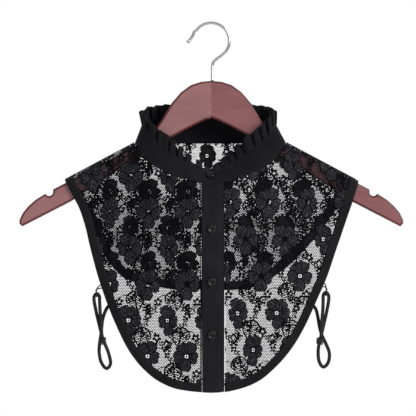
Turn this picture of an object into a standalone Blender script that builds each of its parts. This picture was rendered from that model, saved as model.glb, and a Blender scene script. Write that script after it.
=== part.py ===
"""A black lace collar with a pleated stand collar, hung on a wooden hanger.

The work is in millimetres and each mesh is scaled to metres when it is made. The origin is the
inner top of the hanger's hook. +X runs to the right of the front, +Y to the back, +Z up. An angle
round the neck is 0 at the centre front, positive to the right, 90 at a shoulder and 180 behind.
"""
from math import asin, atan2, cos, degrees, pi, radians, sin, sqrt

import bmesh
import bpy
import numpy as np
from mathutils import Vector

MM = 0.001
SEAM_GAP = 0.3
HALF_GAP = SEAM_GAP / 2

# Cloth walls: how far each stands outside (+) and inside (-) the panels' outer surface
LACE_WALL = (0.0, -1.2)
BINDING_WALL = (0.5, -1.6)
PLACKET_WALL = (1.2, -0.5)
BUTTON_STAND_WALL = (-0.9, -2.4)
STAND_THICKNESS = 1.4
FRILL_THICKNESS = 1.0
BINDING_WIDTH = 10.0

# Angles of the panels' rays, and how far along each its points lie
NEAR_SHOULDER = (83.0, 86.0, 88.2, 89.4, 90.0)
FRONT_ANGLES = (17.0, 22.0, 27.0, 32.5, 38.0, 43.5, 49.0, 54.5, 60.0, 66.0, 72.0, 78.0)
BACK_ANGLES = (103.0, 110.0, 118.0, 126.0, 135.0, 144.0, 153.0, 162.0, 171.0, 180.0)
LACE_SHARES = (0.0, 0.03, 0.08, 0.16, 0.26, 0.37, 0.49, 0.61, 0.73, 0.87, 1.0)
BAND_ROWS = 16
BAND_COLUMNS = 4
EDGE_TURN = 0.2

# Neck seam
CENTRE_X = -1.0
NECK_HALF_WIDTH = 87.4
NECK_FRONT_DEPTH = 34.0
NECK_BACK_DEPTH = 30.0
SHOULDER_Z = -137.3
SHOULDER_SLOPE = 0.531
NECK_ROOF_SLOPE = 0.5
# angle from the centre front, height of the front neck seam
NECK_SEAM = (
    (0, -187.7),
    (9, -184.0),
    (20, -178.6),
    (30, -175.0),
    (42, -168.0),
    (60, -155.5),
    (70, -145.5),
    (75, -140.8),
    (80, -138.2),
    (85, -137.35),
    (90, -137.3),
)

# Outer edge of the front: angle of the neck point it is cut across from, left x and z, right x and z,
# depth in front of the arm's cover
FRONT_EDGE = (
    (0, -1.0, -426.0, -1.0, -426.0, 9.0),
    (11, -17.7, -425.0, 15.7, -425.2, 8.8),
    (17, -39.3, -421.9, 37.9, -420.2, 8.5),
    (24, -59.9, -413.6, 55.0, -412.5, 8.0),
    (31, -80.3, -396.8, 75.5, -395.2, 7.2),
    (38, -95.6, -376.8, 94.0, -373.0, 6.2),
    (45, -109.2, -349.5, 108.5, -348.5, 5.2),
    (52, -120.2, -323.2, 121.3, -320.6, 4.2),
    (59, -132.1, -288.3, 134.5, -290.5, 3.0),
    (65, -139.8, -259.3, 143.5, -263.5, 2.0),
    (71, -145.7, -234.1, 151.8, -239.5, 1.2),
    (76, -152.5, -213.5, 158.2, -220.5, 0.6),
    (81, -158.5, -202.0, 163.5, -205.5, 0.2),
    (86, -165.0, -189.5, 167.6, -192.0, 0.0),
    (90, -169.7, -180.5, 170.6, -182.0, 0.0),
)

# Outer edge of the shorter back, in the same columns
BACK_EDGE = (
    (90, -169.7, -180.5, 170.6, -182.0, 0.0),
    (95, -161.5, -196.5, 162.8, -191.0, 0.0),
    (101, -151.5, -214.5, 154.0, -201.5, 0.3),
    (108, -142.5, -233.0, 146.0, -212.5, 0.8),
    (117, -130.5, -257.0, 128.2, -238.8, 1.2),
    (127, -115.5, -281.0, 109.4, -261.0, 1.6),
    (138, -98.0, -296.5, 89.0, -281.4, 2.0),
    (150, -71.0, -303.7, 63.5, -298.5, 2.4),
    (162, -43.0, -307.6, 43.0, -306.8, 2.8),
    (171, -20.0, -308.2, 20.0, -308.6, 3.0),
    (180, 0.0, -308.3, 0.0, -308.3, 3.0),
)

# The cloth's fall over the hanger's arm: a quarter ellipse this deep and this high
ARM_COVER_DEPTH = 9.0
ARM_COVER_DROP = 6.0
FRONT_BULGE = 4.0
BACK_BULGE = 3.0
# Soft folds that open towards the hem: centre angle, half width in degrees, depth outward
FRONT_FOLDS = (
    (-62, 7, -1.6),
    (-47, 9, 2.4),
    (-24, 9, -2.2),
    (20, 8, -1.8),
    (37, 9, 2.6),
    (60, 8, -1.8),
)
BACK_FOLDS = (
    (-128, 9, -2.4),
    (-152, 10, 2.2),
    (176, 12, -2.0),
    (150, 10, 2.4),
    (124, 9, -2.0),
)

# Collar sections: angle, then how far the stand's top edge lies in, back and up from the neck seam,
# and the frill's top edge from the stand's
COLLAR_SECTIONS = (
    (0, 0.0, 22.0, 15.0, 0.0, 16.5, 5.7),
    (9, 0.5, 21.0, 16.5, 0.5, 15.5, 7.0),
    (20, 2.0, 19.0, 19.0, 2.0, 12.5, 10.8),
    (33, 4.5, 12.5, 23.0, 3.0, 5.0, 15.8),
    (45, 6.0, 7.5, 25.0, 3.0, 2.0, 17.3),
    (60, 9.0, 2.0, 24.5, 2.0, 0.5, 17.5),
    (75, 10.0, -2.0, 23.0, 0.5, 0.0, 16.5),
    (90, 9.5, 0.0, 20.5, 0.0, 0.0, 15.5),
    (120, 5.0, 0.0, 25.0, 0.0, 0.0, 17.5),
    (150, 1.5, 1.0, 28.0, 0.0, 0.5, 18.5),
    (180, 0.0, 1.0, 28.5, 0.0, 0.5, 18.5),
)
COLLAR_LEAN_LEFT = 1.6
STAND_OVER_END = 7.5
STAND_UNDER_END = -4.5
# Angles of the stand's rows, closer together where its two ends lap
STAND_TURNS_OVER = (STAND_OVER_END, 4.0, 0.0, -3.75, -8.0, -13.0, -19.0, -26.0)
STAND_TURNS_ROUND = tuple(-float(angle) for angle in range(32, 328, 6))
STAND_TURNS_UNDER = (-328.0, -334.0, -341.0, -348.0, -354.0, -360.0, -360.0 + STAND_UNDER_END)
STAND_SHARES = (0.0, 0.33, 0.67, 1.0)
LAP_DEPTH = 2.0
LAP_FADE = 16.0
FRILL_FIRST_ANGLE = 1.0
FRILL_LAST_ANGLE = 2.6
FRILL_WAVES = 34
POINTS_A_WAVE = 6
FRILL_FOOT_GAP = 0.35
# share of the way up the frill, how far its waves reach there; the foot's own share is its seam gap
FRILL_WAVE_FOOT = 0.9
FRILL_WAVES_ABOVE = (
    (0.45, 2.0),
    (1.0, 3.3),
)

# Front band and buttons
PLACKET_LEFT_X = -11.6
PLACKET_RIGHT_X = 12.4
BUTTON_STAND_LEFT_X = -9.0
BUTTON_STAND_RIGHT_X = 15.2
BUTTON_X = 0.8
BUTTON_HEIGHTS = (-178.3, -237.1, -297.7, -358.7)
# The stand is hollow across the top button, which lies on its higher sides
TOP_BUTTON_LIFT = 1.3
BUTTON_STEPS = 18
# radius and height of the turned profile: the dished face, the rim and the flat back
BUTTON_PROFILE = (
    (0.0, 2.0),
    (2.6, 1.9),
    (3.4, 2.3),
    (4.4, 2.5),
    (5.0, 1.8),
    (4.7, 0.5),
    (3.6, 0.0),
    (0.0, 0.0),
)

# Clear grounds between the lace motifs: offset from a flower's centre, half width and half height
FLOWER_SPACING = 45.0
LACE_GAPS = (
    (22.5, -1.5, 6.0, 8.6),
    (19.0, 18.5, 7.2, 6.8),
)
# Where each panel's flowers start, and the step from one row of flowers up to the next
LACE_LAYOUT = {
    "front_left": (-50.5, -342.5, -22.0, 41.5),
    "front_right": (30.3, -334.0, 27.0, 42.5),
    "back_panel": (-4.9, -152.0, 22.5, 42.0),
}
GAP_SIDES = 8
GAP_SWELL = 0.12
GAP_EDGE_MARGIN = 3.0
# No clear ground this near the arm's top, where two layers lie on the wood
GAP_BELOW_SHOULDER = 14.0
SHOULDER_FROM_SHARE = 0.8
GAP_ROWS = range(-6, 9)
GAP_COLUMNS = range(-9, 10)
GAP_CUTTER_NEAR = 2.0
GAP_CUTTER_FAR = 60.0

# Hanger
HANGER_HALF_THICKNESS = 6.0
HANGER_CHAMFER = 2.4
HANGER_DROP = 3.6
# x and z along the top of the right half, from the dome to the cloth
DOME = (
    (0.0, -65.8),
    (12.0, -67.0),
    (23.5, -70.7),
    (35.0, -79.0),
    (46.0, -91.8),
    (56.5, -109.5),
    (67.5, -125.0),
    (77.0, -133.6),
)
# x and z round the right arm's end, and back along the underside to the middle
ARM_END = (
    (203.3, -203.5),
    (212.0, -211.2),
    (218.4, -219.0),
    (222.2, -227.0),
    (222.3, -231.4),
    (219.0, -234.4),
)
UNDERSIDE = (
    (163.0, -205.6),
    (108.0, -169.2),
    (56.0, -136.6),
    (24.0, -119.5),
    (7.0, -110.8),
    (0.0, -109.5),
)
ARM_TOP_X = (NECK_HALF_WIDTH, 120.0, 152.0, 183.6)
NOTCH_WIDTH = 10.0
NOTCH_STEPS = 6

# Hook
WIRE_RADIUS = 1.75
HOOK_RADIUS = 21.0
SHANK_X = 1.3
HOOK_STEPS = 20
# x and z of the wire from its free end to the arc, and from the arc to the shank
HOOK_TAIL = (
    (-28.0, -21.6),
    (-26.0, -19.4),
    (-23.2, -16.0),
    (-21.2, -12.6),
    (-19.9, -9.0),
)
HOOK_NECK = (
    (16.6, -32.0),
    (12.0, -36.0),
    (7.0, -39.7),
    (3.4, -42.8),
    (1.6, -46.0),
    (1.3, -50.0),
)
HOOK_BEAD = 1.25

# Side straps of soft flat cord, and the small loops that hold them
STRAP_WIDTH = 4.0
STRAP_THICKNESS = 2.6
STRAP_STEP = 3.0
# across and deep, as shares of half the width and half the thickness
STRAP_SECTION = ((1, 0), (0.55, 1), (-0.55, 1), (-1, 0), (-0.55, -1), (0.55, -1))
LOOP_RADIUS = 0.7
LOOP_STEP = 1.6
STRAP_ROUTES = {
    "left": (
        (-115.8, -12.0, -322.6),
        (-118.6, -11.4, -326.2),
        (-121.4, -11.2, -330.4),
        (-123.8, -11.0, -336.0),
        (-125.6, -10.3, -342.5),
        (-126.6, -9.3, -350.0),
        (-127.4, -9.0, -359.0),
        (-129.0, -9.0, -369.0),
        (-129.6, -9.0, -380.0),
        (-127.2, -9.4, -391.5),
        (-121.2, -10.2, -398.6),
        (-116.4, -11.2, -393.0),
        (-118.4, -12.0, -381.5),
        (-122.6, -12.4, -370.5),
        (-126.4, -12.5, -359.5),
        (-129.6, -12.5, -347.0),
        (-132.9, -12.5, -333.0),
        (-135.3, -12.5, -320.0),
        (-135.0, -12.5, -315.0),
        (-132.1, -12.5, -312.0),
        (-129.2, -12.7, -315.0),
        (-128.9, -13.4, -320.5),
        (-128.3, -15.8, -331.0),
        (-127.3, -16.2, -343.0),
        (-126.6, -16.2, -354.0),
        (-126.2, -16.2, -363.0),
    ),
    "right": (
        (115.6, -10.75, -322.8),
        (118.3, -10.35, -326.4),
        (121.0, -10.3, -330.6),
        (122.7, -10.3, -337.0),
        (124.0, -10.0, -344.0),
        (125.2, -9.3, -351.0),
        (127.6, -9.0, -359.5),
        (132.0, -9.0, -369.0),
        (136.4, -9.2, -380.5),
        (135.2, -9.6, -391.5),
        (129.6, -10.4, -396.9),
        (124.6, -11.4, -390.5),
        (123.4, -12.2, -379.0),
        (124.8, -12.5, -368.5),
        (127.2, -12.5, -359.0),
        (130.0, -12.5, -347.0),
        (133.2, -12.5, -333.0),
        (135.5, -12.5, -320.0),
        (135.2, -12.5, -313.6),
        (132.3, -12.5, -310.6),
        (129.4, -12.7, -313.6),
        (129.1, -13.4, -320.5),
        (128.6, -15.8, -331.0),
        (127.6, -16.2, -343.0),
        (127.0, -16.2, -354.0),
        (126.4, -16.2, -363.0),
    ),
}
# The loop's points from its strap's fold: outward, forward and up
LOOP_BEHIND_FOLD = ((0.6, 3.9, 4.6), (0.2, 3.9, 0.0), (0.0, 2.6, -3.3))
LOOP_BEFORE_FOLD = ((0.0, -2.6, -3.3), (0.2, -3.9, 0.0), (0.6, -3.7, 4.6))
FOLD_INDEX = 19
# The loop's two feet at the front's edge: above the fold, apart, outside the edge, behind the face
LOOP_FEET_RISE = 8.0
LOOP_FEET_SPREAD = 1.6
LOOP_FEET_CLEAR = 0.6
LOOP_FEET_DEPTH = 0.55
LOOP_FEET_ANGLES = (50.0, 62.0)

# Colours: red, green, blue, roughness, metallic
BLACK_LACE = (0.012, 0.012, 0.014, 0.75, 0.0)
BLACK_COTTON = (0.010, 0.010, 0.012, 0.80, 0.0)
BLACK_BUTTON = (0.008, 0.008, 0.010, 0.35, 0.0)
BLACK_ELASTIC = (0.009, 0.009, 0.010, 0.60, 0.0)
MAHOGANY = (0.160, 0.028, 0.030, 0.35, 0.0)
CHROME = (0.780, 0.780, 0.800, 0.15, 1.0)

parts = None
cutters = None


def clear_scene():
    for obj in list(bpy.data.objects):
        bpy.data.objects.remove(obj, do_unlink=True)


def new_collection(name):
    made = bpy.data.collections.new(name)
    bpy.context.scene.collection.children.link(made)
    return made


def principled(name, finish):
    red, green, blue, roughness, metallic = finish
    material = bpy.data.materials.new(name)
    material.use_nodes = True
    shader = material.node_tree.nodes["Principled BSDF"]
    shader.inputs["Base Color"].default_value = (red, green, blue, 1.0)
    shader.inputs["Roughness"].default_value = roughness
    shader.inputs["Metallic"].default_value = metallic
    return material


def node(name, data, finish):
    obj = bpy.data.objects.new(name, data)
    data.materials.append(principled(name + "_finish", finish))
    parts.objects.link(obj)
    return obj


def mesh_from(bm, name):
    bmesh.ops.recalc_face_normals(bm, faces=bm.faces)
    mesh = bpy.data.meshes.new(name)
    bm.to_mesh(mesh)
    bm.free()
    return mesh


def smooth_curve(places, values, level_ends=False):
    """A function through the values that never swings past them, level at both ends if asked."""
    x = np.array(places, float)
    y = np.array(values, float)
    step = np.diff(x)
    rise = np.diff(y) / step
    slope = np.zeros(len(x))
    for i in range(1, len(x) - 1):
        if rise[i - 1] * rise[i] > 0:
            near, far = 2 * step[i] + step[i - 1], step[i] + 2 * step[i - 1]
            slope[i] = (near + far) / (near / rise[i - 1] + far / rise[i])
    if not level_ends:
        slope[0], slope[-1] = rise[0], rise[-1]

    def at(place):
        i = int(np.clip(np.searchsorted(x, place) - 1, 0, len(x) - 2))
        u = min(max((place - x[i]) / step[i], 0.0), 1.0)
        lift = y[i] + (y[i + 1] - y[i]) * u * u * (3 - 2 * u)
        return lift + step[i] * u * (1 - u) * (slope[i] * (1 - u) - slope[i + 1] * u)

    return at


def columns(table, level_ends=False):
    places = [row[0] for row in table]
    width = range(1, len(table[0]))
    return [smooth_curve(places, [row[i] for row in table], level_ends) for i in width]


neck_height = columns(NECK_SEAM, level_ends=True)[0]
front_edge = columns(FRONT_EDGE)
back_edge = columns(BACK_EDGE)
collar_offsets = columns(COLLAR_SECTIONS, level_ends=True)


def wrapped(angle):
    """The same direction as an angle from -180 to 180."""
    around = (angle + 180) % 360 - 180
    return 180.0 if around == -180 else around


def neck_point(angle):
    turn = radians(angle)
    from_front = abs(wrapped(angle))
    depth = NECK_FRONT_DEPTH if cos(turn) > 0 else NECK_BACK_DEPTH
    height = neck_height(from_front) if from_front < 90 else SHOULDER_Z
    return np.array([CENTRE_X + NECK_HALF_WIDTH * sin(turn), -depth * cos(turn), height])


def angle_at(x):
    return degrees(asin((x - CENTRE_X) / NECK_HALF_WIDTH))


def arm_cover(x, z):
    """Depth of the cloth's fall over the arm at a place seen from the front."""
    beyond = abs(x - CENTRE_X) - NECK_HALF_WIDTH
    roof = SHOULDER_Z - (SHOULDER_SLOPE if beyond > 0 else NECK_ROOF_SLOPE) * beyond
    fall = min(max(roof - z, 0.0), ARM_COVER_DROP)
    return ARM_COVER_DEPTH * sqrt(1 - (1 - fall / ARM_COVER_DROP) ** 2)


def fold_depth(angle, share, folds):
    total = 0.0
    for centre, half_width, depth in folds:
        away = abs(wrapped(angle - centre)) / half_width
        if away < 1:
            total += depth * (0.5 + 0.5 * cos(pi * away))
    return total * share ** 1.4


def edge_point(angle):
    """x, z and depth of the outer edge that belongs to a neck point."""
    angle = wrapped(angle)
    left_x, left_z, right_x, right_z, flare = front_edge if abs(angle) <= 90 else back_edge
    place = abs(angle)
    if angle < 0:
        return left_x(place), left_z(place), flare(place)
    return right_x(place), right_z(place), flare(place)


def panel_point(angle, share, back=False):
    """A point of the panels' outer surface: share 0 at the neck seam, 1 at the outer edge."""
    neck = neck_point(angle)
    edge_x, edge_z, flare = edge_point(angle)
    x = neck[0] + share * (edge_x - neck[0])
    z = neck[2] + share * (edge_z - neck[2])
    start = abs(neck[1]) - arm_cover(neck[0], neck[2])
    spread = share ** 1.15
    bulge = (BACK_BULGE if back else FRONT_BULGE) * sin(pi * share) * abs(cos(radians(angle)))
    extra = start * (1 - spread) + flare * spread + bulge
    extra += fold_depth(angle, share, BACK_FOLDS if back else FRONT_FOLDS)
    depth = HALF_GAP + arm_cover(x, z) + extra
    return np.array([x, depth if back else -depth, z])


def ridge_normal(angle):
    side = 1 if angle > 0 else -1
    length = sqrt(1 + SHOULDER_SLOPE ** 2)
    return np.array([side * SHOULDER_SLOPE / length, 0.0, 1 / length])


def panel_normal(angle, share, back=False):
    if abs(abs(angle) - 90) < 1e-6:
        return ridge_normal(angle)
    turn, along = 0.05, 0.002
    low = max(share - along, 0.0)
    across = panel_point(angle + turn, share, back) - panel_point(angle - turn, share, back)
    down = panel_point(angle, low + 2 * along, back) - panel_point(angle, low, back)
    normal = np.cross(across, down)
    normal /= np.linalg.norm(normal)
    outward = 1 if back else -1
    return normal if normal[1] * outward > 0 else -normal


def lap(angle):
    """How far the upper end of the collar stands off where the two ends overlap."""
    past = STAND_OVER_END - angle
    if past < 0 or past > STAND_OVER_END - STAND_UNDER_END + LAP_FADE:
        return 0.0
    fade = (past - (STAND_OVER_END - STAND_UNDER_END)) / LAP_FADE
    return LAP_DEPTH if fade < 0 else LAP_DEPTH * (0.5 + 0.5 * cos(pi * fade))


def collar_rings(angle):
    """The neck seam, the stand's top edge and the frill's top edge at an angle."""
    place = abs(wrapped(angle))
    side = 1 if sin(radians(angle)) > 0 else -1
    stand_in, stand_back, stand_up, frill_in, frill_back, frill_up = (f(place) for f in collar_offsets)
    lean = COLLAR_LEAN_LEFT
    foot = neck_point(angle)
    top = foot + np.array([-side * stand_in - lean, stand_back, stand_up])
    crown = top + np.array([-side * frill_in - lean, frill_back, frill_up])
    return foot, top, crown


def stand_point(angle, share):
    foot, top, _ = collar_rings(angle)
    return foot + share * (top - foot)


def stand_normal(angle, share):
    across = stand_point(angle + 0.5, share) - stand_point(angle - 0.5, share)
    up = stand_point(angle, share + 0.05) - stand_point(angle, share - 0.05)
    normal = np.cross(across, up)
    return normal / np.linalg.norm(normal)


def seam_normal(angle):
    """The mitre between the stand and the panel, so that both end on one plane at the neck seam."""
    panel = panel_normal(wrapped(angle), 0.0, back=abs(wrapped(angle)) > 90)
    both = panel + stand_normal(angle, 0.0)
    return both / np.linalg.norm(both)


def loft_wall(name, outer, inner, finish):
    """A closed wall between two grids of points with the same rows and columns."""
    bm = bmesh.new()
    shells = [[[bm.verts.new(point * MM) for point in row] for row in grid] for grid in (outer, inner)]
    rows, count = len(outer), len(outer[0])
    for shell in shells:
        for i in range(rows - 1):
            for j in range(count - 1):
                bm.faces.new((shell[i][j], shell[i + 1][j], shell[i + 1][j + 1], shell[i][j + 1]))
    rim = [(0, j) for j in range(count)] + [(i, count - 1) for i in range(1, rows)]
    rim += [(rows - 1, j) for j in range(count - 2, -1, -1)] + [(i, 0) for i in range(rows - 2, 0, -1)]
    for (i, j), (k, m) in zip(rim, rim[1:] + rim[:1]):
        bm.faces.new((shells[0][i][j], shells[0][k][m], shells[1][k][m], shells[1][i][j]))
    return node(name, mesh_from(bm, name), finish)


def edge_share(angle, width, back=False):
    """The share of the way to the outer edge where a band of this width begins."""
    turn = EDGE_TURN if (angle > 0) == back else -EDGE_TURN
    edge = panel_point(angle, 1.0, back)[[0, 2]]
    ray = edge - panel_point(angle, 0.0, back)[[0, 2]]
    tangent = panel_point(angle + turn, 1.0, back)[[0, 2]] - edge
    length = np.linalg.norm(ray)
    lean = abs(ray[0] * tangent[1] - ray[1] * tangent[0]) / (length * np.linalg.norm(tangent))
    return 1 - width / (length * lean)


def panel_wall(name, angles, shares_at, wall, finish, back=False):
    """A wall on the panels' surface. shares_at gives the shares of the way out, for an angle."""
    outer, inner = [], []
    for angle in angles:
        row_out, row_in = [], []
        for share in shares_at(angle):
            point = panel_point(angle, share, back)
            at_neck = share < 0.01
            normal = seam_normal(angle) if at_neck else panel_normal(angle, share, back)
            row_out.append(point + wall[0] * normal)
            row_in.append(point + wall[1] * normal)
        outer.append(row_out)
        inner.append(row_in)
    return loft_wall(name, outer, inner, finish)


def neck_share(angle, back=False):
    """The share of the way out that leaves half a seam gap at the neck."""
    length = np.linalg.norm(panel_point(angle, 1.0, back) - panel_point(angle, 0.0, back))
    return HALF_GAP / length


def lace_shares(back):
    def shares_at(angle):
        first = neck_share(angle, back)
        last = edge_share(angle, BINDING_WIDTH + SEAM_GAP, back)
        return [first + share * (last - first) for share in LACE_SHARES]

    return shares_at


def binding_shares(back):
    def shares_at(angle):
        first = edge_share(angle, BINDING_WIDTH, back)
        return [first, (1 + first) / 2, 1.0]

    return shares_at


def front_angles(side):
    """Angles of one front panel's rays, from the band's edge to the shoulder."""
    edge = PLACKET_LEFT_X - SEAM_GAP if side < 0 else BUTTON_STAND_RIGHT_X + SEAM_GAP
    return (angle_at(edge),) + tuple(side * angle for angle in FRONT_ANGLES + NEAR_SHOULDER)


def back_angles():
    """Angles of the back's rays, from the right shoulder round to the left one."""
    right = tuple(180 - angle for angle in reversed(NEAR_SHOULDER)) + BACK_ANGLES
    return right + tuple(-angle for angle in reversed(right[:-1]))


def gap_outline(centre_x, centre_z, half_width, half_height, lean):
    points = []
    for k in range(GAP_SIDES):
        turn = 2 * pi * k / GAP_SIDES
        swell = 1 + GAP_SWELL * cos(2 * turn + lean)
        x = centre_x + half_width * swell * cos(turn)
        z = centre_z + half_height * swell * sin(turn)
        points.append((x, z))
    return points


def lace_gap_outlines(name):
    """The clear grounds of one panel's lace, before those that miss the panel are left out."""
    first_x, first_z, shift, rise = LACE_LAYOUT[name]
    for row in GAP_ROWS:
        mirrored = -1 if row % 2 else 1
        for column in GAP_COLUMNS:
            flower_x = first_x + column * FLOWER_SPACING + row * shift
            flower_z = first_z + row * rise
            for k, (right, up, half_width, half_height) in enumerate(LACE_GAPS):
                centre_x = flower_x + FLOWER_SPACING / 2 + mirrored * (right - FLOWER_SPACING / 2)
                yield gap_outline(centre_x, flower_z + up, half_width, half_height, row + 2 * column + k)


def distance_to(points, outline):
    """The shortest way from any of the points to a closed outline."""
    start = np.array(outline)
    along = np.roll(start, -1, axis=0) - start
    best = 1e9
    for point in np.array(points):
        share = np.clip(((point - start) * along).sum(1) / (along ** 2).sum(1), 0, 1)
        best = min(best, np.linalg.norm(start + along * share[:, None] - point, axis=1).min())
    return best


def inside(point, outline):
    x, z = point
    crossings = False
    for (ax, az), (bx, bz) in zip(outline, outline[1:] + outline[:1]):
        if (az > z) != (bz > z) and x < ax + (bx - ax) * (z - az) / (bz - az):
            crossings = not crossings
    return crossings


def panel_outline(angles, back):
    shares_at = lace_shares(back)
    neck = [panel_point(angle, shares_at(angle)[0], back)[[0, 2]] for angle in angles]
    edge = [panel_point(angle, shares_at(angle)[-1], back)[[0, 2]] for angle in angles]
    return [tuple(point) for point in neck + edge[::-1]]


def below_shoulder(outline):
    for x, z in outline:
        beyond = max(abs(x - CENTRE_X) - NECK_HALF_WIDTH, 0.0)
        if abs(x - CENTRE_X) > SHOULDER_FROM_SHARE * NECK_HALF_WIDTH:
            if z > SHOULDER_Z - SHOULDER_SLOPE * beyond - GAP_BELOW_SHOULDER:
                return False
    return True


def cut_lace_gaps(panel, angles, back=False):
    """Cuts the lace's clear grounds through a panel with one cutter of upright prisms."""
    limits = panel_outline(angles, back)
    bm = bmesh.new()
    count = 0
    outward = 1 if back else -1
    near, far = outward * GAP_CUTTER_NEAR, outward * GAP_CUTTER_FAR
    for outline in lace_gap_outlines(panel.name):
        if not all(inside(point, limits) for point in outline):
            continue
        if distance_to(outline, limits) < GAP_EDGE_MARGIN or not below_shoulder(outline):
            continue
        rings = [[bm.verts.new((x * MM, y * MM, z * MM)) for x, z in outline] for y in (near, far)]
        bm.faces.new(rings[0])
        bm.faces.new(rings[1][::-1])
        for k in range(GAP_SIDES):
            following = (k + 1) % GAP_SIDES
            bm.faces.new((rings[0][k], rings[1][k], rings[1][following], rings[0][following]))
        count += 1
    cutter = bpy.data.objects.new(panel.name + "_gaps", mesh_from(bm, panel.name + "_gaps"))
    cutters.objects.link(cutter)
    cutter.hide_render = True
    cutter.display_type = "WIRE"
    cut = panel.modifiers.new("lace_gaps", "BOOLEAN")
    cut.operation = "DIFFERENCE"
    cut.solver = "EXACT"
    cut.object = cutter
    print(panel.name, "has", count, "gaps")


def build_panels():
    for side, name in ((-1, "front_left"), (1, "front_right")):
        angles = front_angles(side)
        panel = panel_wall(name, angles, lace_shares(False), LACE_WALL, BLACK_LACE)
        cut_lace_gaps(panel, angles)
        panel_wall("binding_" + name, angles, binding_shares(False), BINDING_WALL, BLACK_COTTON)
    angles = back_angles()
    panel = panel_wall("back_panel", angles, lace_shares(True), LACE_WALL, BLACK_LACE, back=True)
    cut_lace_gaps(panel, angles, back=True)
    panel_wall("binding_back", angles, binding_shares(True), BINDING_WALL, BLACK_COTTON, back=True)


def build_front_band():
    """The buttoned band down the left front, and the stand that lies under it."""
    shares = [k / BAND_ROWS for k in range(1, BAND_ROWS + 1)]
    for name, left_x, right_x, wall in (
        ("placket", PLACKET_LEFT_X, PLACKET_RIGHT_X, PLACKET_WALL),
        ("button_stand", BUTTON_STAND_LEFT_X, BUTTON_STAND_RIGHT_X, BUTTON_STAND_WALL),
    ):
        step = (right_x - left_x) / BAND_COLUMNS
        angles = [angle_at(left_x + k * step) for k in range(BAND_COLUMNS + 1)]
        panel_wall(name, angles, lambda angle: [neck_share(angle)] + shares, wall, BLACK_COTTON)


def build_stand():
    outer, inner = [], []
    for angle in STAND_TURNS_OVER + STAND_TURNS_ROUND + STAND_TURNS_UNDER:
        off = lap(angle)
        foot, top, _ = collar_rings(angle)
        gap = HALF_GAP / np.linalg.norm(top - foot)
        row_out, row_in = [], []
        for share in STAND_SHARES:
            normal = stand_normal(angle, share)
            if share == 0:
                normal = seam_normal(angle)
            if share == 1:
                normal = frill_seam_normal(angle)
            point = stand_point(angle, min(max(share, gap), 1 - gap))
            row_out.append(point + off * normal)
            row_in.append(point + (off - STAND_THICKNESS) * normal)
        outer.append(row_out)
        inner.append(row_in)
    loft_wall("collar_stand", outer, inner, BLACK_COTTON)


def frill_normal(angle):
    across = collar_rings(angle + 0.5)[2] - collar_rings(angle - 0.5)[2]
    _, top, crown = collar_rings(angle)
    normal = np.cross(across, crown - top)
    return normal / np.linalg.norm(normal)


def frill_seam_normal(angle):
    both = stand_normal(angle, 0.9) + frill_normal(angle)
    return both / np.linalg.norm(both)


def build_frill():
    """The pleated frill: its waves are even along its length, and open from foot to top."""
    fine = np.linspace(FRILL_FIRST_ANGLE, FRILL_LAST_ANGLE - 360, 1441)
    ring = np.array([collar_rings(angle)[2] for angle in fine])
    along = np.concatenate([[0], np.cumsum(np.linalg.norm(np.diff(ring, axis=0), axis=1))])
    count = FRILL_WAVES * POINTS_A_WAVE
    middle = (FRILL_THICKNESS - STAND_THICKNESS) / 2
    outer, inner = [], []
    for k in range(count + 1):
        angle = float(np.interp(along[-1] * k / count, along, fine))
        _, top, crown = collar_rings(angle)
        wave = sin(2 * pi * k / POINTS_A_WAVE) * min(k / POINTS_A_WAVE, (count - k) / POINTS_A_WAVE, 1.0)
        foot_share = FRILL_FOOT_GAP / np.linalg.norm(crown - top)
        row_out, row_in = [], []
        for share, reach in ((foot_share, FRILL_WAVE_FOOT),) + FRILL_WAVES_ABOVE:
            normal = frill_seam_normal(angle) if share == foot_share else frill_normal(angle)
            base = top + share * (crown - top)
            depth = reach * wave + middle + lap(angle)
            row_out.append(base + depth * normal)
            row_in.append(base + (depth - FRILL_THICKNESS) * normal)
        outer.append(row_out)
        inner.append(row_in)
    loft_wall("collar_frill", outer, inner, BLACK_COTTON)


def build_button(number, place, normal):
    """A turned button with a raised rim, facing along the normal."""
    bm = bmesh.new()
    points = [bm.verts.new((radius * MM, 0, height * MM)) for radius, height in BUTTON_PROFILE]
    for first, second in zip(points, points[1:]):
        bm.edges.new((first, second))
    mesh = bpy.data.meshes.new("button")
    bm.to_mesh(mesh)
    bm.free()
    obj = node(f"button_{number}", mesh, BLACK_BUTTON)
    turned = obj.modifiers.new("turned", "SCREW")
    turned.axis = "Z"
    turned.steps = turned.render_steps = BUTTON_STEPS
    turned.use_merge_vertices = True
    turned.merge_threshold = 0.00001
    obj.rotation_euler = Vector(normal).to_track_quat("Z", "Y").to_euler()
    obj.location = Vector(place * MM)
    return obj


def build_buttons():
    angle = angle_at(BUTTON_X)
    seam = neck_point(angle)[2]
    edge = panel_point(angle, 1.0)[2]
    for number, height in enumerate(BUTTON_HEIGHTS, 1):
        if height > seam:
            _, top, _ = collar_rings(angle)
            share = (height - seam) / (top[2] - seam)
            normal = stand_normal(angle, share)
            place = stand_point(angle, share) + (lap(angle) + TOP_BUTTON_LIFT) * normal
        else:
            share = (seam - height) / (seam - edge)
            normal = panel_normal(angle, share)
            place = panel_point(angle, share) + (PLACKET_WALL[0] + SEAM_GAP) * normal
        build_button(number, place, normal)


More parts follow.
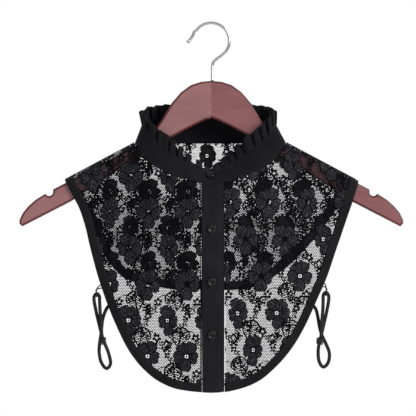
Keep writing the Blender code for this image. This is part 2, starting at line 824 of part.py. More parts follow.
def hanger_outline():
    """The right half of the hanger from the middle of its dome round to the middle of its underside."""
    top = [Vector(point) for point in DOME]
    for x in ARM_TOP_X:
        top.append(Vector((x, SHOULDER_Z - HANGER_DROP - SHOULDER_SLOPE * (x - NECK_HALF_WIDTH))))
    run = Vector((1.0, -SHOULDER_SLOPE)).normalized()
    inward = Vector((run.y, -run.x))
    middle = top[-1] + run * NOTCH_WIDTH / 2
    for k in range(1, NOTCH_STEPS + 1):
        turn = pi * k / NOTCH_STEPS
        top.append(middle - run * cos(turn) * NOTCH_WIDTH / 2 + inward * sin(turn) * NOTCH_WIDTH / 2)
    return top + [Vector(point) for point in ARM_END + UNDERSIDE]


def build_hanger():
    """The whole chamfered plate is made, then cut at the middle into its two halves of wood."""
    right = hanger_outline()
    left = [Vector((-point.x, point.y)) for point in reversed(right[1:-1])]
    for side, name in ((-1, "hanger_left"), (1, "hanger_right")):
        bm = bmesh.new()
        flat = HANGER_HALF_THICKNESS - HANGER_CHAMFER
        front = bm.faces.new([bm.verts.new((p.x * MM, -flat * MM, p.y * MM)) for p in right + left])
        made = bmesh.ops.extrude_face_region(bm, geom=[front])
        lifted = [item for item in made["geom"] if isinstance(item, bmesh.types.BMVert)]
        bmesh.ops.translate(bm, verts=lifted, vec=(0, 2 * flat * MM, 0))
        bmesh.ops.recalc_face_normals(bm, faces=bm.faces)
        caps = [face for face in bm.faces if len(face.verts) > 4]
        chamfer = HANGER_CHAMFER * MM
        for cap in caps:
            bmesh.ops.inset_region(bm, faces=[cap], thickness=chamfer, depth=chamfer, use_even_offset=True)
        bmesh.ops.triangulate(bm, faces=bm.faces)
        cut = bmesh.ops.bisect_plane(
            bm,
            geom=bm.verts[:] + bm.edges[:] + bm.faces[:],
            plane_co=(side * HALF_GAP * MM, 0, 0),
            plane_no=(-side, 0, 0),
            clear_outer=True,
        )
        rim = [item for item in cut["geom_cut"] if isinstance(item, bmesh.types.BMEdge)]
        bmesh.ops.contextual_create(bm, geom=rim)
        node(name, mesh_from(bm, name), MAHOGANY)


def wire(name, points, radius, finish, swell=None):
    """A round wire or cord as a poly curve with filled caps."""
    curve = bpy.data.curves.new(name, "CURVE")
    curve.dimensions = "3D"
    curve.bevel_depth = radius * MM
    curve.bevel_resolution = 2
    curve.use_fill_caps = True
    spline = curve.splines.new("POLY")
    spline.points.add(len(points) - 1)
    for k, (spot, point) in enumerate(zip(spline.points, points)):
        spot.co = (*(np.array(point) * MM), 1.0)
        spot.radius = swell[k] if swell else 1.0
    return node(name, curve, finish)


def build_hook():
    centre_z = WIRE_RADIUS - HOOK_RADIUS
    first = atan2(HOOK_TAIL[-1][1] - centre_z, HOOK_TAIL[-1][0])
    last = atan2(HOOK_NECK[0][1] - centre_z, HOOK_NECK[0][0])
    turns = np.linspace(first, last, HOOK_STEPS + 2)[1:-1]
    route = [(x, 0.0, z) for x, z in HOOK_TAIL]
    route += [(HOOK_RADIUS * cos(t), 0.0, centre_z + HOOK_RADIUS * sin(t)) for t in turns]
    route += [(x, 0.0, z) for x, z in HOOK_NECK]
    route.append((SHANK_X, 0.0, DOME[0][1] + SEAM_GAP))
    swell = [HOOK_BEAD, HOOK_BEAD] + [1.0] * (len(route) - 2)
    wire("hanger_hook", route, WIRE_RADIUS, CHROME, swell)


def smooth_route(points, step):
    """Points a step apart on a smooth curve through the route's own points."""
    given = np.array(points, float)
    padded = np.vstack([2 * given[0] - given[1], given, 2 * given[-1] - given[-2]])
    fine = []
    for i in range(1, len(padded) - 2):
        a, b, c, d = padded[i - 1 : i + 3]
        for u in np.linspace(0, 1, 12, endpoint=False):
            bend = (2 * a - 5 * b + 4 * c - d) * u * u
            swing = (3 * b - a - 3 * c + d) * u * u * u
            fine.append(0.5 * (2 * b + (c - a) * u + bend + swing))
    fine = np.array(fine + [given[-1]])
    along = np.concatenate([[0], np.cumsum(np.linalg.norm(np.diff(fine, axis=0), axis=1))])
    count = max(int(round(along[-1] / step)), 2)
    places = np.linspace(0, along[-1], count + 1)
    return np.array([[np.interp(place, along, fine[:, k]) for k in range(3)] for place in places])


def build_strap(side):
    """A soft flat cord: six-sided sections, wide across the front view and thin from front to back."""
    route = smooth_route(STRAP_ROUTES[side], STRAP_STEP)
    tangents = np.gradient(route, axis=0)
    bm = bmesh.new()
    rings = []
    for point, tangent in zip(route, tangents):
        across = np.cross(tangent, (0.0, 1.0, 0.0))
        across /= np.linalg.norm(across)
        deep = np.cross(tangent, across)
        deep /= np.linalg.norm(deep)
        rings.append([
            bm.verts.new((point + across * u * STRAP_WIDTH / 2 + deep * v * STRAP_THICKNESS / 2) * MM)
            for u, v in STRAP_SECTION
        ])
    sides = len(STRAP_SECTION)
    for first, second in zip(rings, rings[1:]):
        for k in range(sides):
            after = (k + 1) % sides
            bm.faces.new((first[k], first[after], second[after], second[k]))
    bm.faces.new(rings[0])
    bm.faces.new(rings[-1][::-1])
    node("strap_" + side, mesh_from(bm, "strap_" + side), BLACK_ELASTIC)


def build_loop(side):
    """The small loop that leaves the front's edge, goes round the strap's fold and comes back."""
    sign = -1 if side == "left" else 1
    fold = np.array(STRAP_ROUTES[side][FOLD_INDEX])
    angles = sign * np.arange(*LOOP_FEET_ANGLES, 0.1)
    heights = np.array([panel_point(angle, 1.0)[2] for angle in angles])
    feet = []
    for up in (LOOP_FEET_SPREAD, -LOOP_FEET_SPREAD):
        angle = angles[np.abs(heights - (fold[2] + LOOP_FEET_RISE + up)).argmin()]
        foot = panel_point(angle, 1.0) - LOOP_FEET_DEPTH * panel_normal(angle, 1.0)
        feet.append(foot + np.array([sign * (LOOP_RADIUS + LOOP_FEET_CLEAR), 0.0, 0.0]))
    behind = [fold + np.array([sign * out, back, rise]) for out, back, rise in LOOP_BEHIND_FOLD]
    before = [fold + np.array([sign * out, back, rise]) for out, back, rise in LOOP_BEFORE_FOLD]
    route = smooth_route([feet[0]] + behind + before + [feet[1]], LOOP_STEP)
    wire("loop_" + side, route, LOOP_RADIUS, BLACK_ELASTIC)


def main():
    global parts, cutters
    clear_scene()
    parts = new_collection("lace_collar_on_hanger")
    cutters = new_collection("cutters")
    build_hook()
    build_hanger()
    build_panels()
    build_front_band()
    build_stand()
    build_frill()
    build_buttons()
    for side in ("left", "right"):
        build_strap(side)
        build_loop(side)


main()
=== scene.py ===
"""Looks of the black lace collar on its wooden hanger.

The solids' tables and forms are repeated here in millimetres, with the same names as in the part's
source, and every cloth is drawn on them as a thin shell. The lace is true geometry: a six-sided net,
an embroidered ground of small cells, and flowers, medallions, leaves and vines on top.
"""
from math import asin, atan2, cos, degrees, pi, radians, sin, sqrt

import bmesh
import bpy
import numpy as np
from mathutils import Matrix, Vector
from mathutils.bvhtree import BVHTree
from mathutils.geometry import delaunay_2d_cdt


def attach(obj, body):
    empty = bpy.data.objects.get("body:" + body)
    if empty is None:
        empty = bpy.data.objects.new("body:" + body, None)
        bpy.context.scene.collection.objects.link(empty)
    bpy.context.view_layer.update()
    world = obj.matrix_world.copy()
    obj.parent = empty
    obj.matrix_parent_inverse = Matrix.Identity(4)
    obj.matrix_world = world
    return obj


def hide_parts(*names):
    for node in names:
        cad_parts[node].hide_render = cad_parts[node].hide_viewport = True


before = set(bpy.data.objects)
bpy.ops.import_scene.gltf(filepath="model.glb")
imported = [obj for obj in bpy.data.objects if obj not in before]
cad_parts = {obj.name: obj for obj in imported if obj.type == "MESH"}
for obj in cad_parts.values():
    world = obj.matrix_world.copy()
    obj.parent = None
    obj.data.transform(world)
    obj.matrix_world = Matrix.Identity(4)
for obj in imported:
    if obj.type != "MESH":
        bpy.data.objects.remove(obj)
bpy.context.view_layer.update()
scene = bpy.context.scene
random = np.random.default_rng(23)

# Sizes and forms, as in the part's source

MM = 0.001
SEAM_GAP = 0.3
HALF_GAP = SEAM_GAP / 2

# Cloth walls: how far each stands outside (+) and inside (-) the panels' outer surface
BINDING_WALL = (0.5, -1.6)
PLACKET_WALL = (1.2, -0.5)
BUTTON_STAND_WALL = (-0.9, -2.4)
STAND_THICKNESS = 1.4
FRILL_THICKNESS = 1.0
BINDING_WIDTH = 10.0

# Angles of the panels' rays
NEAR_SHOULDER = (83.0, 86.0, 88.2, 89.4, 90.0)
FRONT_ANGLES = (17.0, 22.0, 27.0, 32.5, 38.0, 43.5, 49.0, 54.5, 60.0, 66.0, 72.0, 78.0)
BACK_ANGLES = (103.0, 110.0, 118.0, 126.0, 135.0, 144.0, 153.0, 162.0, 171.0, 180.0)
EDGE_TURN = 0.2

# Neck seam
CENTRE_X = -1.0
NECK_HALF_WIDTH = 87.4
NECK_FRONT_DEPTH = 34.0
NECK_BACK_DEPTH = 30.0
SHOULDER_Z = -137.3
SHOULDER_SLOPE = 0.531
NECK_ROOF_SLOPE = 0.5
# angle from the centre front, height of the front neck seam
NECK_SEAM = (
    (0, -187.7), (9, -184.0), (20, -178.6), (30, -175.0), (42, -168.0), (60, -155.5), (70, -145.5),
    (75, -140.8), (80, -138.2), (85, -137.35), (90, -137.3),
)

# Outer edge of the front: angle of the neck point it is cut across from, left x and z, right x and z,
# depth in front of the arm's cover
FRONT_EDGE = (
    (0, -1.0, -426.0, -1.0, -426.0, 9.0), (11, -17.7, -425.0, 15.7, -425.2, 8.8),
    (17, -39.3, -421.9, 37.9, -420.2, 8.5), (24, -59.9, -413.6, 55.0, -412.5, 8.0),
    (31, -80.3, -396.8, 75.5, -395.2, 7.2), (38, -95.6, -376.8, 94.0, -373.0, 6.2),
    (45, -109.2, -349.5, 108.5, -348.5, 5.2), (52, -120.2, -323.2, 121.3, -320.6, 4.2),
    (59, -132.1, -288.3, 134.5, -290.5, 3.0), (65, -139.8, -259.3, 143.5, -263.5, 2.0),
    (71, -145.7, -234.1, 151.8, -239.5, 1.2), (76, -152.5, -213.5, 158.2, -220.5, 0.6),
    (81, -158.5, -202.0, 163.5, -205.5, 0.2), (86, -165.0, -189.5, 167.6, -192.0, 0.0),
    (90, -169.7, -180.5, 170.6, -182.0, 0.0),
)

# Outer edge of the shorter back, in the same columns
BACK_EDGE = (
    (90, -169.7, -180.5, 170.6, -182.0, 0.0), (95, -161.5, -196.5, 162.8, -191.0, 0.0),
    (101, -151.5, -214.5, 154.0, -201.5, 0.3), (108, -142.5, -233.0, 146.0, -212.5, 0.8),
    (117, -130.5, -257.0, 128.2, -238.8, 1.2), (127, -115.5, -281.0, 109.4, -261.0, 1.6),
    (138, -98.0, -296.5, 89.0, -281.4, 2.0), (150, -71.0, -303.7, 63.5, -298.5, 2.4),
    (162, -43.0, -307.6, 43.0, -306.8, 2.8), (171, -20.0, -308.2, 20.0, -308.6, 3.0),
    (180, 0.0, -308.3, 0.0, -308.3, 3.0),
)

# The cloth's fall over the hanger's arm: a quarter ellipse this deep and this high
ARM_COVER_DEPTH = 9.0
ARM_COVER_DROP = 6.0
FRONT_BULGE = 4.0
BACK_BULGE = 3.0
# Soft folds that open towards the hem: centre angle, half width in degrees, depth outward
FRONT_FOLDS = (
    (-62, 7, -1.6), (-47, 9, 2.4), (-24, 9, -2.2), (20, 8, -1.8), (37, 9, 2.6), (60, 8, -1.8),
)
BACK_FOLDS = (
    (-128, 9, -2.4), (-152, 10, 2.2), (176, 12, -2.0), (150, 10, 2.4), (124, 9, -2.0),
)

# Collar sections: angle, then how far the stand's top edge lies in, back and up from the neck seam,
# and the frill's top edge from the stand's
COLLAR_SECTIONS = (
    (0, 0.0, 22.0, 15.0, 0.0, 16.5, 5.7), (9, 0.5, 21.0, 16.5, 0.5, 15.5, 7.0),
    (20, 2.0, 19.0, 19.0, 2.0, 12.5, 10.8), (33, 4.5, 12.5, 23.0, 3.0, 5.0, 15.8),
    (45, 6.0, 7.5, 25.0, 3.0, 2.0, 17.3), (60, 9.0, 2.0, 24.5, 2.0, 0.5, 17.5),
    (75, 10.0, -2.0, 23.0, 0.5, 0.0, 16.5), (90, 9.5, 0.0, 20.5, 0.0, 0.0, 15.5),
    (120, 5.0, 0.0, 25.0, 0.0, 0.0, 17.5), (150, 1.5, 1.0, 28.0, 0.0, 0.5, 18.5),
    (180, 0.0, 1.0, 28.5, 0.0, 0.5, 18.5),
)
COLLAR_LEAN_LEFT = 1.6
STAND_OVER_END = 7.5
STAND_UNDER_END = -4.5
# Angles of the stand's rows, closer together where its two ends lap
STAND_TURNS_OVER = (STAND_OVER_END, 4.0, 0.0, -3.75, -8.0, -13.0, -19.0, -26.0)
STAND_TURNS_ROUND = tuple(-float(angle) for angle in range(32, 328, 6))
STAND_TURNS_UNDER = (-328.0, -334.0, -341.0, -348.0, -354.0, -360.0, -360.0 + STAND_UNDER_END)
LAP_DEPTH = 2.0
LAP_FADE = 16.0
FRILL_FIRST_ANGLE = 1.0
FRILL_LAST_ANGLE = 1.1
FRILL_WAVES = 34
# How far the frill's waves reach at its foot and at its top
FRILL_WAVE_FOOT = 0.9
FRILL_WAVE_TOP = 3.3

# Front band and buttons
PLACKET_LEFT_X = -11.6
PLACKET_RIGHT_X = 12.4
BUTTON_STAND_LEFT_X = -9.0
BUTTON_STAND_RIGHT_X = 15.2
BUTTON_X = 0.8
BUTTON_HEIGHTS = (-178.3, -237.1, -297.7, -358.7)
# The stand is hollow across the top button, which lies on its higher sides
TOP_BUTTON_LIFT = 1.3
# The lace's repeat across
FLOWER_SPACING = 45.0
# Where each panel's flowers start, and the step from one row of flowers up to the next
LACE_LAYOUT = {
    "front_left": (-50.5, -342.5, -22.0, 41.5),
    "front_right": (30.3, -334.0, 27.0, 42.5),
    "back_panel": (-4.9, -152.0, 22.5, 42.0),
}
# Hanger
HANGER_HALF_THICKNESS = 6.0
HANGER_CHAMFER = 2.4
HANGER_DROP = 3.6
# x and z along the top of the right half, from the dome to the cloth
DOME = (
    (0.0, -65.8), (12.0, -67.0), (23.5, -70.7), (35.0, -79.0), (46.0, -91.8), (56.5, -109.5),
    (67.5, -125.0), (77.0, -133.6),
)
# x and z round the right arm's end, and back along the underside to the middle
ARM_END = (
    (203.3, -203.5), (212.0, -211.2), (218.4, -219.0), (222.2, -227.0), (222.3, -231.4),
    (219.0, -234.4),
)
UNDERSIDE = (
    (163.0, -205.6), (108.0, -169.2), (56.0, -136.6), (24.0, -119.5), (7.0, -111.4), (0.0, -108.6),
)
ARM_TOP_X = (NECK_HALF_WIDTH, 120.0, 152.0, 183.6)
NOTCH_WIDTH = 10.0
NOTCH_STEPS = 6

# Hook
WIRE_RADIUS = 1.75
HOOK_RADIUS = 21.0
SHANK_X = 1.3
HOOK_STEPS = 20
# x and z of the wire from its free end to the arc, and from the arc to the shank
HOOK_TAIL = (
    (-28.0, -21.6), (-26.0, -19.4), (-23.2, -16.0), (-21.2, -12.6), (-19.9, -9.0),
)
HOOK_NECK = (
    (16.6, -32.0), (12.0, -36.0), (7.0, -39.7), (3.4, -42.8), (1.6, -46.0), (1.3, -50.0),
)
# The bead at the free end: how much thicker than the wire, and how long to its middle
HOOK_BEAD = 1.25
HOOK_BEAD_REACH = 1.8
HOOK_FINE_STEP = 0.8

# Side straps of soft flat cord, and the small loops that hold them
STRAP_WIDTH = 4.0
STRAP_THICKNESS = 2.6
LOOP_RADIUS = 0.7
STRAP_ROUTES = {
    "left": (
        (-115.8, -12.0, -322.6), (-118.6, -11.4, -326.2), (-121.4, -11.2, -330.4),
        (-123.8, -11.0, -336.0), (-125.6, -10.3, -342.5), (-126.6, -9.3, -350.0),
        (-127.4, -9.0, -359.0), (-129.0, -9.0, -369.0), (-129.6, -9.0, -380.0), (-127.2, -9.4, -391.5),
        (-121.2, -10.2, -398.6), (-116.4, -11.2, -393.0), (-118.4, -12.0, -381.5),
        (-122.6, -12.4, -370.5), (-126.4, -12.5, -359.5), (-129.6, -12.5, -347.0),
        (-132.9, -12.5, -333.0), (-135.3, -12.5, -320.0), (-135.0, -12.5, -315.0),
        (-132.1, -12.5, -312.0), (-129.2, -12.7, -315.0), (-128.9, -13.4, -320.5),
        (-128.3, -15.8, -331.0), (-127.3, -16.2, -343.0), (-126.6, -16.2, -354.0),
        (-126.2, -16.2, -363.0),
    ),
    "right": (
        (115.6, -10.75, -322.8), (118.3, -10.35, -326.4), (121.0, -10.3, -330.6),
        (122.7, -10.3, -337.0), (124.0, -10.0, -344.0), (125.2, -9.3, -351.0), (127.6, -9.0, -359.5),
        (132.0, -9.0, -369.0), (136.4, -9.2, -380.5), (135.2, -9.6, -391.5), (129.6, -10.4, -396.9),
        (124.6, -11.4, -390.5), (123.4, -12.2, -379.0), (124.8, -12.5, -368.5), (127.2, -12.5, -359.0),
        (130.0, -12.5, -347.0), (133.2, -12.5, -333.0), (135.5, -12.5, -320.0), (135.2, -12.5, -313.6),
        (132.3, -12.5, -310.6), (129.4, -12.7, -313.6), (129.1, -13.4, -320.5), (128.6, -15.8, -331.0),
        (127.6, -16.2, -343.0), (127.0, -16.2, -354.0), (126.4, -16.2, -363.0),
    ),
}
# The loop's points from its strap's fold: outward, forward and up
LOOP_BEHIND_FOLD = ((0.6, 3.9, 4.6), (0.2, 3.9, 0.0), (0.0, 2.6, -3.3))
LOOP_BEFORE_FOLD = ((0.0, -2.6, -3.3), (0.2, -3.9, 0.0), (0.6, -3.7, 4.6))
FOLD_INDEX = 19
# The loop's two feet at the front's edge: above the fold, apart, outside the edge, behind the face
LOOP_FEET_RISE = 8.0
LOOP_FEET_SPREAD = 1.6
LOOP_FEET_CLEAR = 0.6
LOOP_FEET_DEPTH = 0.55
LOOP_FEET_ANGLES = (50.0, 62.0)


def smooth_curve(places, values, level_ends=False):
    """A function through the values that never swings past them, level at both ends if asked."""
    x = np.array(places, float)
    y = np.array(values, float)
    step = np.diff(x)
    rise = np.diff(y) / step
    slope = np.zeros(len(x))
    for i in range(1, len(x) - 1):
        if rise[i - 1] * rise[i] > 0:
            near, far = 2 * step[i] + step[i - 1], step[i] + 2 * step[i - 1]
            slope[i] = (near + far) / (near / rise[i - 1] + far / rise[i])
    if not level_ends:
        slope[0], slope[-1] = rise[0], rise[-1]

    def at(place):
        i = int(np.clip(np.searchsorted(x, place) - 1, 0, len(x) - 2))
        u = min(max((place - x[i]) / step[i], 0.0), 1.0)
        lift = y[i] + (y[i + 1] - y[i]) * u * u * (3 - 2 * u)
        return lift + step[i] * u * (1 - u) * (slope[i] * (1 - u) - slope[i + 1] * u)

    return at


def columns(table, level_ends=False):
    places = [row[0] for row in table]
    width = range(1, len(table[0]))
    return [smooth_curve(places, [row[i] for row in table], level_ends) for i in width]


neck_height = columns(NECK_SEAM, level_ends=True)[0]
front_edge = columns(FRONT_EDGE)
back_edge = columns(BACK_EDGE)
collar_offsets = columns(COLLAR_SECTIONS, level_ends=True)


def distances(path):
    """How far along a path each of its points lies."""
    return np.concatenate([[0], np.cumsum(np.linalg.norm(np.diff(path, axis=0), axis=1))])


def places_on(wanted, along, values):
    """Every column of the values, read where the distances along are the wanted ones."""
    return np.stack([np.interp(wanted, along, values[:, k]) for k in range(values.shape[1])], -1)


def unit_circle(sides):
    turns = 2 * pi * np.arange(sides) / sides
    return np.column_stack([np.cos(turns), np.sin(turns)])


def wrapped(angle):
    """The same direction as an angle from -180 to 180."""
    around = (angle + 180) % 360 - 180
    return 180.0 if around == -180 else around


def neck_point(angle):
    turn = radians(angle)
    from_front = abs(wrapped(angle))
    depth = NECK_FRONT_DEPTH if cos(turn) > 0 else NECK_BACK_DEPTH
    height = neck_height(from_front) if from_front < 90 else SHOULDER_Z
    return np.array([CENTRE_X + NECK_HALF_WIDTH * sin(turn), -depth * cos(turn), height])


def angle_at(x):
    return degrees(asin((x - CENTRE_X) / NECK_HALF_WIDTH))


def arm_cover(x, z):
    """Depth of the cloth's fall over the arm at a place seen from the front."""
    beyond = abs(x - CENTRE_X) - NECK_HALF_WIDTH
    roof = SHOULDER_Z - (SHOULDER_SLOPE if beyond > 0 else NECK_ROOF_SLOPE) * beyond
    fall = min(max(roof - z, 0.0), ARM_COVER_DROP)
    return ARM_COVER_DEPTH * sqrt(1 - (1 - fall / ARM_COVER_DROP) ** 2)


def fold_depth(angle, share, folds):
    total = 0.0
    for centre, half_width, depth in folds:
        away = abs(wrapped(angle - centre)) / half_width
        if away < 1:
            total += depth * (0.5 + 0.5 * cos(pi * away))
    return total * share ** 1.4


def edge_point(angle):
    """x, z and depth of the outer edge that belongs to a neck point."""
    angle = wrapped(angle)
    left_x, left_z, right_x, right_z, flare = front_edge if abs(angle) <= 90 else back_edge
    place = abs(angle)
    if angle < 0:
        return left_x(place), left_z(place), flare(place)
    return right_x(place), right_z(place), flare(place)


def panel_point(angle, share, back=False):
    """A point of the panels' outer surface: share 0 at the neck seam, 1 at the outer edge."""
    neck = neck_point(angle)
    edge_x, edge_z, flare = edge_point(angle)
    x = neck[0] + share * (edge_x - neck[0])
    z = neck[2] + share * (edge_z - neck[2])
    start = abs(neck[1]) - arm_cover(neck[0], neck[2])
    spread = share ** 1.15
    bulge = (BACK_BULGE if back else FRONT_BULGE) * sin(pi * share) * abs(cos(radians(angle)))
    extra = start * (1 - spread) + flare * spread + bulge
    extra += fold_depth(angle, share, BACK_FOLDS if back else FRONT_FOLDS)
    depth = HALF_GAP + arm_cover(x, z) + extra
    return np.array([x, depth if back else -depth, z])


def ridge_normal(angle):
    side = 1 if angle > 0 else -1
    length = sqrt(1 + SHOULDER_SLOPE ** 2)
    return np.array([side * SHOULDER_SLOPE / length, 0.0, 1 / length])


def panel_normal(angle, share, back=False):
    if abs(abs(angle) - 90) < 1e-6:
        return ridge_normal(angle)
    turn, along = 0.05, 0.002
    low = max(share - along, 0.0)
    across = panel_point(angle + turn, share, back) - panel_point(angle - turn, share, back)
    down = panel_point(angle, low + 2 * along, back) - panel_point(angle, low, back)
    normal = np.cross(across, down)
    normal /= np.linalg.norm(normal)
    outward = 1 if back else -1
    return normal if normal[1] * outward > 0 else -normal


def lap(angle):
    """How far the upper end of the collar stands off where the two ends overlap."""
    past = STAND_OVER_END - angle
    if past < 0 or past > STAND_OVER_END - STAND_UNDER_END + LAP_FADE:
        return 0.0
    fade = (past - (STAND_OVER_END - STAND_UNDER_END)) / LAP_FADE
    return LAP_DEPTH if fade < 0 else LAP_DEPTH * (0.5 + 0.5 * cos(pi * fade))


def collar_rings(angle):
    """The neck seam, the stand's top edge and the frill's top edge at an angle."""
    place = abs(wrapped(angle))
    side = 1 if sin(radians(angle)) > 0 else -1
    stand_in, stand_back, stand_up, frill_in, frill_back, frill_up = (f(place) for f in collar_offsets)
    lean = COLLAR_LEAN_LEFT
    foot = neck_point(angle)
    top = foot + np.array([-side * stand_in - lean, stand_back, stand_up])
    crown = top + np.array([-side * frill_in - lean, frill_back, frill_up])
    return foot, top, crown


def stand_point(angle, share):
    foot, top, _ = collar_rings(angle)
    return foot + share * (top - foot)


def stand_normal(angle, share):
    across = stand_point(angle + 0.5, share) - stand_point(angle - 0.5, share)
    up = stand_point(angle, share + 0.05) - stand_point(angle, share - 0.05)
    normal = np.cross(across, up)
    return normal / np.linalg.norm(normal)


def seam_normal(angle):
    """The mitre between the stand and the panel, so that both end on one plane at the neck seam."""
    panel = panel_normal(wrapped(angle), 0.0, back=abs(wrapped(angle)) > 90)
    both = panel + stand_normal(angle, 0.0)
    return both / np.linalg.norm(both)


def edge_share(angle, width, back=False):
    """The share of the way to the outer edge where a band of this width begins."""
    turn = EDGE_TURN if (angle > 0) == back else -EDGE_TURN
    edge = panel_point(angle, 1.0, back)[[0, 2]]
    ray = edge - panel_point(angle, 0.0, back)[[0, 2]]
    tangent = panel_point(angle + turn, 1.0, back)[[0, 2]] - edge
    length = np.linalg.norm(ray)
    lean = abs(ray[0] * tangent[1] - ray[1] * tangent[0]) / (length * np.linalg.norm(tangent))
    return 1 - width / (length * lean)


def frill_normal(angle):
    across = collar_rings(angle + 0.5)[2] - collar_rings(angle - 0.5)[2]
    _, top, crown = collar_rings(angle)
    normal = np.cross(across, crown - top)
    return normal / np.linalg.norm(normal)


def frill_seam_normal(angle):
    both = stand_normal(angle, 0.9) + frill_normal(angle)
    return both / np.linalg.norm(both)


def hanger_outline():
    """The right half of the hanger from the middle of its dome round to the middle of its underside."""
    top = [Vector(point) for point in DOME]
    for x in ARM_TOP_X:
        top.append(Vector((x, SHOULDER_Z - HANGER_DROP - SHOULDER_SLOPE * (x - NECK_HALF_WIDTH))))
    run = Vector((1.0, -SHOULDER_SLOPE)).normalized()
    inward = Vector((run.y, -run.x))
    middle = top[-1] + run * NOTCH_WIDTH / 2
    for k in range(1, NOTCH_STEPS + 1):
        turn = pi * k / NOTCH_STEPS
        top.append(middle - run * cos(turn) * NOTCH_WIDTH / 2 + inward * sin(turn) * NOTCH_WIDTH / 2)
    return top + [Vector(point) for point in ARM_END + UNDERSIDE]


ROUTE_STEPS = 12


def smooth_route(points, step):
    """Points a step apart on a smooth curve through the route's own points."""
    given = np.array(points, float)
    padded = np.vstack([2 * given[0] - given[1], given, 2 * given[-1] - given[-2]])
    fine = []
    for i in range(1, len(padded) - 2):
        a, b, c, d = padded[i - 1 : i + 3]
        for u in np.linspace(0, 1, ROUTE_STEPS, endpoint=False):
            bend = (2 * a - 5 * b + 4 * c - d) * u * u
            swing = (3 * b - a - 3 * c + d) * u * u * u
            fine.append(0.5 * (2 * b + (c - a) * u + bend + swing))
    fine = np.array(fine + [given[-1]])
    along = distances(fine)
    count = max(int(round(along[-1] / step)), 2)
    return places_on(np.linspace(0, along[-1], count + 1), along, fine)


# Materials


def new_material(name):
    material = bpy.data.materials.new(name)
    material.use_nodes = True
    nodes = material.node_tree.nodes
    return material, nodes, material.node_tree.links, nodes["Principled BSDF"]


def object_coordinates(nodes, links, scale):
    place = nodes.new("ShaderNodeTexCoord")
    mapping = nodes.new("ShaderNodeMapping")
    mapping.inputs["Scale"].default_value = scale
    links.new(place.outputs["Object"], mapping.inputs["Vector"])
    return mapping.outputs["Vector"]


def noise(nodes, links, vector, scale, detail=2.0):
    texture = nodes.new("ShaderNodeTexNoise")
    texture.inputs["Scale"].default_value = scale
    texture.inputs["Detail"].default_value = detail
    links.new(vector, texture.inputs["Vector"])
    return texture.outputs["Fac"]


def ramp(nodes, links, factor, stops):
    made = nodes.new("ShaderNodeValToRGB")
    band = made.color_ramp
    band.elements[0].position, band.elements[0].color = stops[0][0], (*stops[0][1], 1)
    band.elements[1].position, band.elements[1].color = stops[-1][0], (*stops[-1][1], 1)
    for place, colour in stops[1:-1]:
        band.elements.new(place).color = (*colour, 1)
    links.new(factor, made.inputs["Fac"])
    return made.outputs["Color"]


def scaled(colour, factor):
    return tuple(min(part * factor, 1.0) for part in colour)


def bumped(nodes, links, shader, height, distance, strength=1.0, under=None):
    bump = nodes.new("ShaderNodeBump")
    bump.inputs["Strength"].default_value = strength
    bump.inputs["Distance"].default_value = distance
    links.new(height, bump.inputs["Height"])
    if under is not None:
        links.new(under, bump.inputs["Normal"])
    links.new(bump.outputs["Normal"], shader.inputs["Normal"])
    return bump.outputs["Normal"]


def woven(name, colour, thread=0.00045, sheen=0.06, roughness=0.8, contrast=0.35):
    """A fine plain weave: two crossed sets of threads, with slow changes of shade."""
    material, nodes, links, shader = new_material(name)
    vector = object_coordinates(nodes, links, (1, 1, 1))
    slow = noise(nodes, links, vector, 38.0, 3.0)
    tone = ramp(nodes, links, slow, (
        (0.25, scaled(colour, 1 - contrast)),
        (0.55, colour),
        (0.8, scaled(colour, 1 + contrast)),
    ))
    links.new(tone, shader.inputs["Base Color"])
    heights = []
    for direction in ("X", "Z"):
        wave = nodes.new("ShaderNodeTexWave")
        wave.bands_direction = direction
        wave.inputs["Scale"].default_value = pi / (10 * thread)
        wave.inputs["Distortion"].default_value = 0.6
        wave.inputs["Detail Scale"].default_value = 40.0
        links.new(vector, wave.inputs["Vector"])
        heights.append(wave.outputs["Fac"])
    both = nodes.new("ShaderNodeMath")
    both.operation = "MULTIPLY"
    links.new(heights[0], both.inputs[0])
    links.new(heights[1], both.inputs[1])
    coarse = noise(nodes, links, vector, 120.0, 3.0)
    first = bumped(nodes, links, shader, coarse, 0.0006, 0.5)
    bumped(nodes, links, shader, both.outputs[0], 0.00012, 0.7, first)
    shader.inputs["Roughness"].default_value = roughness
    shader.inputs["Sheen Weight"].default_value = sheen
    shader.inputs["Sheen Roughness"].default_value = 0.45
    shader.inputs["Sheen Tint"].default_value = (0.75, 0.75, 0.85, 1.0)
    shader.inputs["Specular IOR Level"].default_value = 0.12
    return material


def embroidered(name, colour):
    """Satin stitches in short runs: light specks and dark gaps 1 to 2 mm wide, the light specks painted
    highlights, glints of the shiny thread.
    """
    material, nodes, links, shader = new_material(name)
    vector = object_coordinates(nodes, links, (1, 1, 1))
    glint_specks = noise(nodes, links, vector, 560.0, 2.0)
    # The ramp's light end, over three times the thread's colour, is painted highlight: glints of the shiny
    # thread.
    tone = ramp(nodes, links, glint_specks, (
        (0.36, scaled(colour, 0.3)),
        (0.48, scaled(colour, 0.8)),
        (0.56, scaled(colour, 1.3)),
        (0.66, scaled(colour, 3.2)),
    ))
    links.new(tone, shader.inputs["Base Color"])
    bumped(nodes, links, shader, glint_specks, 0.0008, 0.9)
    shader.inputs["Roughness"].default_value = 0.7
    shader.inputs["Specular IOR Level"].default_value = 0.1
    return material


